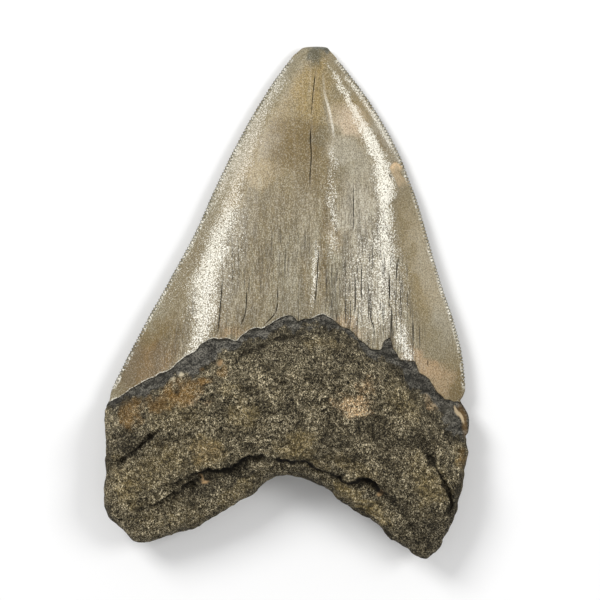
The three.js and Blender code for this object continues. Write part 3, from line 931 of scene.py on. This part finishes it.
def edge_marks(outline, points, index, distance, marks):
    """For the serrations: the run along the outline, the closeness to it and the way out of it."""
    share = (1 - step(distance, 0.0, 1.5)) * (1 - step(-points[:, 1], 19, 23))
    share *= 1 - step(points[:, 1], 57.5, 60)
    marks["edge_run"] = outline.run[index]
    marks["edge_share"] = share
    marks["edge_out"] = outline.out[index]


# ---------------------------------------------------------------- what a user would change

def srgb(red, green, blue):
    """A colour given as on a screen, 0 to 255, in the linear light that Blender works in."""
    shares = (red / 255, green / 255, blue / 255)
    return tuple(c / 12.92 if c <= 0.04 else ((c + 0.055) / 1.055) ** 2.4 for c in shares)


def length(name, description, default, least=0.0):
    return FloatProperty(name=name, description=description, default=default, unit="LENGTH", min=least)


def colour(name, description, default):
    return FloatVectorProperty(name=name, description=description, default=default, subtype="COLOR",
                               min=0.0, max=1.0)


def amount(name, description, default):
    return FloatProperty(name=name, description=description, default=default, subtype="FACTOR",
                         min=0.0, max=1.0)


def quantity(name, description, default, least=0.0, unit="NONE"):
    return FloatProperty(name=name, description=description, default=default, min=least, unit=unit)


# The serrations as they are made unless a setting says otherwise, in metres
SERRATION_PITCH = 0.0008
SERRATION_DEPTH = 0.00034
SERRATION_WEAR = 0.7
SERRATION_SEED = 7


class ToothSizes(bpy.types.PropertyGroup):
    front_spacing: length("Front spacing", "Distance between points of the rounded face", 0.00038, 0.0003)
    back_spacing: length("Back spacing", "Distance between points of the flatter face", 0.00085, 0.0004)
    serration_pitch: length("Serration pitch", "Distance between serrations", SERRATION_PITCH, 0.0003)
    serration_depth: length("Serration depth", "Depth of the notches between serrations", SERRATION_DEPTH)
    serration_wear: amount("Serration wear", "How unevenly the serrations are worn down", SERRATION_WEAR)
    serration_seed: IntProperty(name="Serration seed", description="Pattern of the serrations' wear",
                                default=SERRATION_SEED)
    grain: length("Root grain", "Size of the grains on the root", 0.0004, 0.0001)


class ToothColours(bpy.types.PropertyGroup):
    enamel: colour("Enamel", "Worn enamel of the crown", srgb(129, 116, 85))
    warm: colour("Warm enamel", "Tan parts of the crown", srgb(144, 121, 68))
    peach: colour("Peach enamel", "Pinkish tan parts", srgb(170, 141, 103))
    fresh: colour("Fresh break", "Enamel where a flake came away", srgb(226, 194, 150))
    cool: colour("Cool enamel", "Grey bands and margins of the crown", srgb(128, 121, 98))
    # the stain colour also paints the shade in the crown's valleys and on its lower left corner
    olive_stain_and_shade: colour("Stain", "Olive-brown stains on the crown", srgb(104, 84, 36))
    grime: colour("Grime", "Dark grains and fibres of the crown", srgb(72, 60, 38))
    notch: colour("Notch", "Shade in the serrations and along the very edge", srgb(72, 72, 58))
    # cream paints the highlights of the shine bands, the fold's crest, the glints and the edge strips, and
    # also pale flecks of the enamel itself
    cream: colour("Cream", "Polished crests and chipped edges", srgb(234, 230, 216))
    # the crack colour darkens cracks, crevices, pits and hollows; in the deep ones it is painted shade
    crack: colour("Crack", "Cracks and deep hollows", srgb(20, 17, 13))
    band: colour("Band", "Smooth band between crown and root", srgb(86, 83, 75))
    band_dark: colour("Dark band", "Darker layers of the band", srgb(44, 42, 36))
    root_dark: colour("Dark root", "Hollows between the root's grains", srgb(28, 25, 19))
    root: colour("Root", "Root between its grains", srgb(95, 86, 65))
    root_light: colour("Light root", "Pale grains of the root", srgb(208, 196, 166))
    rust: colour("Rust", "Rusty patches on the root", srgb(126, 93, 42))
    sand: colour("Sand", "Yellowish patches on the root", srgb(132, 115, 74))


class StageSettings(bpy.types.PropertyGroup):
    floor: colour("Floor", "Colour of the floor", srgb(236, 236, 236))
    world_strength: quantity("World strength", "Light from all round", 0.55)
    key_power: quantity("Key power", "Light from the upper left", 5.0, unit="POWER")
    side_power: quantity("Side power", "Light from the right", 2.4, unit="POWER")
    focal_length: quantity("Focal length", "Lens in millimetres", 150.0, 20.0)
    view_width: length("View width", "Width of the view where the tooth lies", 0.1452, 0.05)


# ---------------------------------------------------------------- nodes as Python expressions

class Wire:
    """A node's output that can be used in sums, each of which adds a Math node."""

    def __init__(self, graph, socket):
        self.graph = graph
        self.socket = socket

    def maths(self, operation, *values):
        return self.graph.node("ShaderNodeMath", {"operation": operation}, dict(enumerate(values)))

    def __add__(self, other):
        return self.maths("ADD", self, other)

    def __radd__(self, other):
        return self.maths("ADD", other, self)

    def __sub__(self, other):
        return self.maths("SUBTRACT", self, other)

    def __rsub__(self, other):
        return self.maths("SUBTRACT", other, self)

    def __mul__(self, other):
        return self.maths("MULTIPLY", self, other)

    def __rmul__(self, other):
        return self.maths("MULTIPLY", other, self)

    def __truediv__(self, other):
        return self.maths("DIVIDE", self, other)

    def __abs__(self):
        return self.maths("ABSOLUTE", self)

    def __pow__(self, other):
        return self.maths("POWER", self, other)


class Graph:
    """A node tree with one way to add a node."""

    def __init__(self, tree):
        self.tree = tree

    def node(self, kind, settings=None, values=None, output=0):
        made = self.tree.nodes.new(kind)
        for name, setting in (settings or {}).items():
            setattr(made, name, setting)
        for name, value in (values or {}).items():
            if isinstance(value, Wire):
                self.tree.links.new(value.socket, made.inputs[name])
            else:
                made.inputs[name].default_value = value
        return Wire(self, made.outputs[output]) if output is not None else made

    def scaled(self, vector, factors):
        return self.node("ShaderNodeVectorMath", {"operation": "MULTIPLY"}, {0: vector, 1: factors})


class Finish(Graph):
    """A material's tree, with its noises, masks and colour mixes. Places are in millimetres."""

    def __init__(self, name):
        self.material = bpy.data.materials.new(name)
        self.material.use_nodes = True
        super().__init__(self.material.node_tree)
        self.tree.nodes.clear()
        place = self.node("ShaderNodeTexCoord", output="Object")
        self.place = self.scaled(place, (1 / MM,) * 3)

    def noise(self, size, detail=2.0, rough=0.5, stretch=(1, 1, 1), move=0.0, curl=0.0):
        """Noise from 0 to 1 with marks about size across, drawn out along the axes whose stretch is large."""
        factors = tuple(1 / (size * s) for s in stretch)
        vector = self.scaled(self.place, factors)
        moved = self.node("ShaderNodeVectorMath", {"operation": "ADD"}, {0: vector, 1: (move,) * 3})
        return self.node("ShaderNodeTexNoise", {}, {"Vector": moved, "Scale": 1.0, "Detail": detail,
                                                    "Roughness": rough, "Distortion": curl}, "Fac")

    def upright_cracks(self, spacing, width, move):
        """1 on thin upright lines, one for each spacing across, which come and go along the tooth."""
        across = self.node("ShaderNodeSeparateXYZ", {}, {"Vector": self.place}, "X")
        upward = self.node("ShaderNodeSeparateXYZ", {}, {"Vector": self.place}, "Y")
        lane = across / spacing + 1.2 * self.noise(9.0, 2.0, 0.5, (1, 2, 1), move) + move
        number = lane.maths("FLOOR", lane)
        own = self.node("ShaderNodeTexWhiteNoise", {"noise_dimensions": "1D"}, {"W": number}, "Value")
        off = abs(lane - number - 0.2 - 0.6 * own) * spacing
        along = self.node("ShaderNodeCombineXYZ", {}, {"X": number * 5.3, "Y": upward / 6.0, "Z": move})
        opened = self.node("ShaderNodeTexNoise", {}, {"Vector": along, "Scale": 1.0, "Detail": 2.0}, "Fac")
        return self.ramp(off, 0.4 * width, width, 1.0, 0.0) * self.ramp(opened, 0.48, 0.54)

    def attribute(self, name, output="Fac"):
        return self.node("ShaderNodeAttribute", {"attribute_name": name}, {}, output)

    def ramp(self, value, low, high, start=0.0, end=1.0):
        """A soft step of value from start to end between low and high."""
        return self.node("ShaderNodeMapRange", {"interpolation_type": "SMOOTHSTEP"},
                         {"Value": value, "From Min": low, "From Max": high, "To Min": start, "To Max": end})

    def mix(self, share, first, second, kind="MIX"):
        """first where share is 0 and second where it is 1."""
        made = self.tree.nodes.new("ShaderNodeMix")
        made.data_type = "RGBA"
        made.blend_type = kind
        made.clamp_factor = True
        for socket, value in ((made.inputs[0], share), (made.inputs[6], first), (made.inputs[7], second)):
            if isinstance(value, Wire):
                self.tree.links.new(value.socket, socket)
            else:
                socket.default_value = value
        return Wire(self, made.outputs[2])

    def tinted(self, base, *tints):
        """base with one tint after another over it, each a share and a colour."""
        for share, tint in tints:
            base = self.mix(share, base, opaque(tint))
        return base

    def shaded(self, colour_wire, factor):
        """A colour made darker or lighter by a factor."""
        return self.node("ShaderNodeVectorMath", {"operation": "SCALE"}, {0: colour_wire, "Scale": factor})


def opaque(colour_value):
    return (*colour_value, 1.0)


def enamel_colour(f, colours, speck, serration_pitch):
    """Enamel: clouded tan and olive, upright bands, fibres and cracks, and white flecks of painted highlight
    along the shine bands.
    """
    cloud = f.noise(8.0, 3.0)
    bands = f.noise(1.5, 2.0, 0.5, (1, 14, 1), 3.0)
    fibres = f.noise(0.24, 1.0, 0.5, (1, 30, 1), 4.0)
    flecks = f.noise(0.22, 1.0, 0.6, (1, 1.5, 1), 6.0, 0.4)
    streaks = f.noise(0.22, 0.0, 0.5, (1, 1.6, 1), 21.0)
    fibrous = f.attribute("fibre")
    base = f.tinted(
        opaque(colours.enamel),
        (f.attribute("warm") + (cloud - 0.5) * 0.6, colours.warm),
        (f.ramp(bands, 0.5, 0.7) * (0.2 + 0.6 * fibrous), colours.cool),
        (f.attribute("cool"), colours.cool),
        (f.attribute("peach"), colours.peach),
        # olive-brown stains, and painted shade in the valleys and on the crown's lower left corner
        (f.attribute("olive_stain_and_shade") * (0.85 + (cloud - 0.5)), colours.olive_stain_and_shade),
        (f.attribute("rust") * 0.8, colours.rust),
        (f.attribute("pale") * 0.4, colours.cream),
        # painted shade and dark stain, in the notch colour
        (f.attribute("dark_shade_and_stain") * 0.85, colours.notch),
        (f.attribute("fresh"), colours.fresh))
    base = f.tinted(
        f.shaded(base, f.ramp(speck, 0.36, 0.64, 0.84, 1.16)),
        (f.ramp(streaks, 0.3, 0.48, 0.5, 0.0), colours.grime),
        (f.ramp(streaks, 0.54, 0.7) * (0.14 + 0.12 * fibrous), colours.cream))
    dark_fibre = fibrous * f.ramp(fibres, 0.36, 0.46, 1.0, 0.0)
    base = f.tinted(
        f.shaded(base, 1 + fibrous * ((f.ramp(bands, 0.36, 0.64) - 0.5) * 0.45 - 0.13)),
        (0.5 * dark_fibre, colours.grime),
        (0.14 * fibrous * f.ramp(fibres, 0.53, 0.62), colours.cream))
    shine = f.attribute("shine")
    # painted highlight: cream flecks that cover the shine bands
    highlight = f.ramp(0.75 * shine + 2.5 * (flecks - 0.5), 0.5, 0.63) * f.ramp(shine, 0.02, 0.2)
    highlight_colour = f.mix(0.45 * f.attribute("warm"), opaque(colours.cream), opaque(colours.peach))
    base = f.mix(highlight, base, highlight_colour)
    glints = f.attribute("glint") * f.ramp(flecks, 0.62, 0.68)
    edge = f.attribute("edge_share")
    chips = f.noise(0.7, 2.0, 0.7, move=51.0)
    patchy = f.ramp(f.noise(3.5, 2.0, 0.5, move=53.0), 0.4, 0.6)
    worn = f.ramp(edge, 0.1, 0.5) * (f.ramp(flecks, 0.48, 0.56) * patchy + f.ramp(chips, 0.56, 0.6))
    turn = f.attribute("edge_run") * (math.pi / serration_pitch)
    notch = f.ramp(abs(turn.maths("SINE", turn)), 0.2, 0.7, 1.0, 0.0)
    reach = f.ramp(edge + 0.9 * (chips - 0.5), 0.25, 0.75)
    cracks = 0.85 * f.upright_cracks(1.4, 0.12, 3.0) + 0.6 * f.upright_cracks(0.8, 0.1, 41.0)
    lines = f.attribute("split") * cracks
    base = f.tinted(
        base,
        (0.8 * glints + 0.8 * worn, colours.cream),
        (0.85 * notch * reach, colours.notch),
        (0.6 * f.ramp(edge, 0.84, 0.97), colours.notch),
        (lines, colours.crack))
    return base, highlight, dark_fibre, lines


def root_colour(f, colours, grain, speck):
    """Porous root: dark pits, brown ground, pale curled strands and slow drifts of tone."""
    lumps = f.noise(grain * 2.6, 3.0, 0.65)
    drift = f.noise(4.5, 4.0, 0.6, move=7.0)
    strands = f.noise(grain * 0.68, 1.0, 0.5, (1, 2.0, 1), 2.0, 1.6)
    grit = f.noise(0.22, 0.0, 0.5, (1, 1.4, 1), 31.0)
    pinholes = f.noise(1.2, 1.0, 0.5, move=71.0)
    tone = 0.5 * lumps + 0.5 * strands
    on_lumps = f.ramp(lumps, 0.4, 0.58)
    cover = f.ramp(drift, 0.36, 0.6, 0.35, 1.0)
    light = f.ramp(strands, 0.57, 0.62) * (f.ramp(lumps, 0.42, 0.56) * cover + 0.8 * f.attribute("pale"))
    base = f.mix(f.ramp(tone, 0.37, 0.57), opaque(colours.root_dark), opaque(colours.root))
    base = f.tinted(
        f.shaded(base, f.ramp(drift, 0.32, 0.68, 0.58, 1.42)),
        (f.attribute("sand") * on_lumps * 0.75, colours.sand),
        (f.attribute("rust") * (0.2 + 0.6 * on_lumps), colours.rust),
        (f.attribute("peach") * (0.3 + 0.7 * on_lumps), colours.peach),
        (light, colours.root_light))
    base = f.shaded(base, f.ramp(strands, 0.38, 0.43, 0.22, 1.0))
    # painted shade and dark stain from the dark patches
    base = f.tinted(base, (f.attribute("dark_shade_and_stain") * 0.65, colours.root_dark))
    base = f.tinted(
        f.shaded(base, f.ramp(speck, 0.38, 0.62, 0.28, 1.7)),
        (f.ramp(grit, 0.67, 0.74) * f.ramp(drift, 0.4, 0.6, 0.15, 0.6), colours.root_light),
        (f.ramp(pinholes, 0.25, 0.31, 0.9, 0.0), colours.crack),
        (0.32 * f.attribute("rust"), colours.rust),
        (0.15 * f.attribute("sand"), colours.sand),
        (f.attribute("crumb"), colours.peach))
    return base, tone


def band_colour(f, colours, speck):
    """The smooth band: dark layers with fine black cracks."""
    layers = f.noise(1.1, 3.0, 0.6, (2.4, 1, 1), 5.0)
    veins = f.noise(2.2, 2.0, 0.5, move=11.0)
    crack = f.ramp(abs(veins - 0.5), 0.003, 0.02, 1.0, 0.0)
    base = f.mix(f.ramp(layers, 0.38, 0.6), opaque(colours.band_dark), opaque(colours.band))
    base = f.tinted(
        f.shaded(base, f.ramp(speck, 0.38, 0.62, 0.25, 1.8)),
        (crack * 0.8, colours.crack),
        (f.attribute("rust") * 0.6, colours.rust),
        # painted shade and dark stain from the dark patches
        (f.attribute("dark_shade_and_stain") * 0.7, colours.root_dark),
        (f.attribute("peach") * 0.8, colours.peach),
        (f.attribute("pale") * 0.75, colours.root_light))
    return base, layers, crack


def tooth_material(colours, sizes):
    """Enamel, band and root on one surface, split by the lines where they meet."""
    f = Finish("fossil_tooth")
    speck = f.noise(0.33, 2.0, 0.7)
    enamel, highlight, fibre, lines = enamel_colour(f, colours, speck, sizes.serration_pitch)
    root, tone = root_colour(f, colours, sizes.grain / MM, speck)
    band, layers, crack = band_colour(f, colours, speck)
    crisp = f.noise(0.5, 2.0, 0.6, move=8.0) - 0.5
    loose = f.noise(1.6, 3.0, 0.6, move=61.0) - 0.5
    over_band = f.attribute("above_band_limit") + 1.4 * crisp + 3.2 * loose
    over_enamel = f.attribute("above_enamel_limit") + 0.3 * crisp
    on_band = f.ramp(over_band, -0.3, 0.3)
    on_enamel = f.ramp(over_enamel, -0.05, 0.06)
    gap = f.ramp(over_enamel, -0.45, -0.1) * 0.7
    lip = f.ramp(over_enamel, 0.35, 0.1) * f.attribute("lip") * f.ramp(speck, 0.4, 0.6)
    root = f.tinted(root, (f.ramp(over_band, -3.5, 0.0, 0.0, 0.4), colours.band_dark))
    below = f.tinted(f.mix(on_band, root, band), (gap, colours.root_dark))
    base = f.mix(on_enamel, below, f.tinted(enamel, (lip * 0.8, colours.cream)))
    # painted shade in cracks, grooves and the ledges' crevices
    dark = f.attribute("dark")
    base = f.tinted(base, (dark, colours.crack))
    enamel_rough = 0.46 - 0.14 * f.attribute("shine") + 0.25 * (speck - 0.5)
    below_rough = on_band * 0.55 + (1 - on_band) * 0.88
    rough = on_enamel * enamel_rough + (1 - on_enamel) * below_rough + 0.4 * dark
    enamel_height = 0.03 * speck + 0.02 * highlight - 0.03 * (fibre + lines)
    band_height = 0.06 * layers + 0.03 * speck - 0.06 * crack
    below_height = on_band * band_height + (1 - on_band) * 0.36 * tone
    height = on_enamel * enamel_height + (1 - on_enamel) * below_height
    bump = f.node("ShaderNodeBump", {}, {"Strength": 1.0, "Distance": MM, "Height": height})
    surface = {"Base Color": base, "Roughness": rough, "Normal": bump}
    dull, glossy = (f.node("ShaderNodeBsdfPrincipled", {}, {**surface, "Specular IOR Level": specular})
                    for specular in (0.15, 0.42))
    gloss = on_enamel * (1 - dark) * (1 - lines)
    shader = f.node("ShaderNodeMixShader", {}, {0: gloss, 1: dull, 2: glossy})
    f.node("ShaderNodeOutputMaterial", {}, {"Surface": shader}, None)
    return f.material


# ---------------------------------------------------------------- serrations, with Geometry Nodes

def serration_tree(material):
    """Cuts notches into the cutting edges, from the run, share and direction stored on the points."""
    tree = bpy.data.node_groups.new("serrations", "GeometryNodeTree")
    face = tree.interface
    face.new_socket("Geometry", in_out="INPUT", socket_type="NodeSocketGeometry")
    for name, default in (("Pitch", SERRATION_PITCH), ("Depth", SERRATION_DEPTH),
                          ("Wear", SERRATION_WEAR), ("Seed", float(SERRATION_SEED))):
        face.new_socket(name, in_out="INPUT", socket_type="NodeSocketFloat").default_value = default
    face.new_socket("Geometry", in_out="OUTPUT", socket_type="NodeSocketGeometry")
    g = Graph(tree)
    inputs = tree.nodes.new("NodeGroupInput")
    sizes = {socket.name: Wire(g, socket) for socket in inputs.outputs if socket.name}

    def stored(name, kind):
        return g.node("GeometryNodeInputNamedAttribute", {"data_type": kind}, {"Name": name})

    turns = stored("edge_run", "FLOAT") / sizes["Pitch"]
    bead = abs((turns * math.pi).maths("SINE", turns * math.pi))
    place = g.node("GeometryNodeInputPosition")
    noise = g.node("ShaderNodeTexNoise", {"noise_dimensions": "4D"},
                   {"Vector": place, "W": sizes["Seed"], "Scale": 400.0, "Detail": 3.0, "Roughness": 0.7})
    wear = g.node("ShaderNodeMapRange", {}, {"Value": noise, "From Min": 0.4, "From Max": 0.65})
    worn = 1 - sizes["Wear"] * wear
    reach = sizes["Depth"] * (1 - bead ** 1.4) * worn * stored("edge_share", "FLOAT")
    outward = stored("edge_out", "FLOAT_VECTOR")
    offset = g.node("ShaderNodeVectorMath", {"operation": "SCALE"}, {0: outward, "Scale": -1.0 * reach})
    moved = g.node("GeometryNodeSetPosition", {}, {"Geometry": sizes["Geometry"], "Offset": offset})
    whole = g.node("GeometryNodeRealizeInstances", {}, {"Geometry": moved})
    finished = g.node("GeometryNodeSetMaterial", {}, {"Geometry": whole, "Material": material})
    g.node("NodeGroupOutput", {}, {"Geometry": finished}, None)
    return tree


def input_id(tree, name):
    """The identifier of a tree's input, by its name."""
    return next(item.identifier for item in tree.interface.items_tree
                if item.item_type == "SOCKET" and item.in_out == "INPUT" and item.name == name)


# ---------------------------------------------------------------- the piece

def tooth_mesh(sizes):
    """Both faces as one mesh, with the marks that the finish and the serrations read."""
    points, triangles, marks, layout, on_back = tooth_arrays(sizes)
    mesh = bpy.data.meshes.new("tooth_body")
    mesh.from_pydata((points * MM).tolist(), [], triangles.tolist())
    mesh.polygons.foreach_set("use_smooth", [True] * len(triangles))
    directions = marks.pop("edge_out")
    vectors = np.column_stack([directions, np.zeros(len(directions))])
    mesh.attributes.new("edge_out", "FLOAT_VECTOR", "POINT").data.foreach_set("vector", vectors.ravel())
    marks["edge_run"] = marks["edge_run"] * MM
    for name, values in marks.items():
        mesh.attributes.new(name, "FLOAT", "POINT").data.foreach_set("value", values.astype(np.float32))
    add_bake_map(mesh, layout[triangles].reshape(-1, 2), np.repeat(on_back, 3))
    mesh.update()
    return mesh


BAKE_SIDE = 176  # millimetres of the tooth's plane that the whole bake map spans
BAKE_MIDDLE = (51, 67.5)  # where the rounded face's middle lies on it
BAKE_BESIDE = (77, 0)  # from there to the flatter face's middle


def add_bake_map(mesh, corners, on_back):
    """Both faces side by side, one with its tip up and the other with its tip down."""
    front = corners + BAKE_MIDDLE
    back = corners * (1, -1) + BAKE_MIDDLE + BAKE_BESIDE
    places = np.where(on_back[:, None], back, front) / BAKE_SIDE
    mesh.uv_layers.new(name="OFBake").data.foreach_set("uv", places.ravel())


def serrated(mesh, material, sizes):
    """The finished piece: the mesh with its edges notched and its material set."""
    holder = bpy.data.objects.new("tooth_blank", mesh)
    bpy.context.collection.objects.link(holder)
    tree = serration_tree(material)
    modifier = holder.modifiers.new("serrations", "NODES")
    modifier.node_group = tree
    modifier[input_id(tree, "Pitch")] = sizes.serration_pitch
    modifier[input_id(tree, "Depth")] = sizes.serration_depth
    modifier[input_id(tree, "Wear")] = sizes.serration_wear
    modifier[input_id(tree, "Seed")] = float(sizes.serration_seed)
    evaluated = holder.evaluated_get(bpy.context.evaluated_depsgraph_get())
    made = bpy.data.meshes.new_from_object(evaluated)
    bpy.data.objects.remove(holder)
    bpy.data.meshes.remove(mesh)
    piece = bpy.data.objects.new("fossil_tooth", made)
    bpy.context.collection.objects.link(piece)
    return piece


class TOOTH_OT_build(bpy.types.Operator):
    """Builds the tooth: both faces, its serrated edges and its finish"""
    bl_idname = "fossil_tooth.build"
    bl_label = "Build Tooth"

    def execute(self, context):
        sizes = context.scene.tooth_sizes
        material = tooth_material(context.scene.tooth_colours, sizes)
        piece = serrated(tooth_mesh(sizes), material, sizes)
        if not piece.data.materials:
            piece.data.materials.append(material)
        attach(piece, "root")
        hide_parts("tooth")
        return {"FINISHED"}


# ---------------------------------------------------------------- the stage

FLOOR_HALF = 2.0  # half the floor's side, in metres
KEY_PLACE = (-0.45, 0.42, 0.62)
KEY_SIDE = 0.34
SIDE_PLACE = (0.52, 0.12, 0.58)
SIDE_SIDE = 0.3
VIEW_MIDDLE = (0.0034, 0.0003, 0.006)  # the point of the tooth that the camera looks straight down on


def soft_light(name, place, side, power):
    """A square light that shines on the tooth."""
    data = bpy.data.lights.new(name, "AREA")
    data.shape = "SQUARE"
    data.size = side
    data.energy = power
    light = bpy.data.objects.new(name, data)
    light.location = place
    light.rotation_euler = (-Vector(place)).to_track_quat("-Z", "Y").to_euler()
    bpy.context.collection.objects.link(light)


class TOOTH_OT_stage(bpy.types.Operator):
    """Adds the floor, the lights and a camera that looks straight down on the tooth"""
    bl_idname = "fossil_tooth.stage"
    bl_label = "Build Stage"

    def execute(self, context):
        stage = context.scene.tooth_stage
        mesh = bpy.data.meshes.new("floor")
        corners = [(x * FLOOR_HALF, y * FLOOR_HALF, 0) for x, y in ((-1, -1), (1, -1), (1, 1), (-1, 1))]
        mesh.from_pydata(corners, [], [(0, 1, 2, 3)])
        floor = bpy.data.objects.new("floor", mesh)
        context.collection.objects.link(floor)
        f = Finish("floor_paper")
        paper = {"Base Color": opaque(stage.floor), "Roughness": 0.9}
        shader = f.node("ShaderNodeBsdfPrincipled", {}, paper)
        f.node("ShaderNodeOutputMaterial", {}, {"Surface": shader}, None)
        mesh.materials.append(f.material)
        world = bpy.data.worlds.new("room")
        world.use_nodes = True
        background = world.node_tree.nodes["Background"]
        background.inputs["Color"].default_value = (1.0, 1.0, 1.0, 1.0)
        background.inputs["Strength"].default_value = stage.world_strength
        context.scene.world = world
        soft_light("key", KEY_PLACE, KEY_SIDE, stage.key_power)
        soft_light("side", SIDE_PLACE, SIDE_SIDE, stage.side_power)
        data = bpy.data.cameras.new("camera")
        data.lens = stage.focal_length
        camera = bpy.data.objects.new("camera", data)
        distance = stage.view_width * stage.focal_length / data.sensor_width
        camera.location = Vector(VIEW_MIDDLE) + Vector((0, 0, distance))
        context.collection.objects.link(camera)
        context.scene.camera = camera
        context.scene.view_settings.view_transform = "Standard"
        return {"FINISHED"}


class TOOTH_PT_panel(bpy.types.Panel):
    """Lists the steps that build the tooth and its stage, with their settings"""
    bl_idname = "TOOTH_PT_panel"
    bl_label = "Fossil Tooth"
    bl_space_type = "VIEW_3D"
    bl_region_type = "UI"
    bl_category = "Fossil Tooth"

    def draw(self, context):
        scene = context.scene
        for operator, groups in (("fossil_tooth.build", (scene.tooth_sizes, scene.tooth_colours)),
                                 ("fossil_tooth.stage", (scene.tooth_stage,))):
            self.layout.operator(operator)
            for settings in groups:
                for name in settings.__annotations__:
                    self.layout.prop(settings, name)


CLASSES = (ToothSizes, ToothColours, StageSettings, TOOTH_OT_build, TOOTH_OT_stage, TOOTH_PT_panel)


def register():
    for item in CLASSES:
        bpy.utils.register_class(item)
    bpy.types.Scene.tooth_sizes = PointerProperty(type=ToothSizes)
    bpy.types.Scene.tooth_colours = PointerProperty(type=ToothColours)
    bpy.types.Scene.tooth_stage = PointerProperty(type=StageSettings)


def unregister():
    del bpy.types.Scene.tooth_sizes
    del bpy.types.Scene.tooth_colours
    del bpy.types.Scene.tooth_stage
    for item in reversed(CLASSES):
        bpy.utils.unregister_class(item)


def main():
    register()
    bpy.ops.fossil_tooth.build()
    bpy.ops.fossil_tooth.stage()


if __name__ == "__main__":
    main()
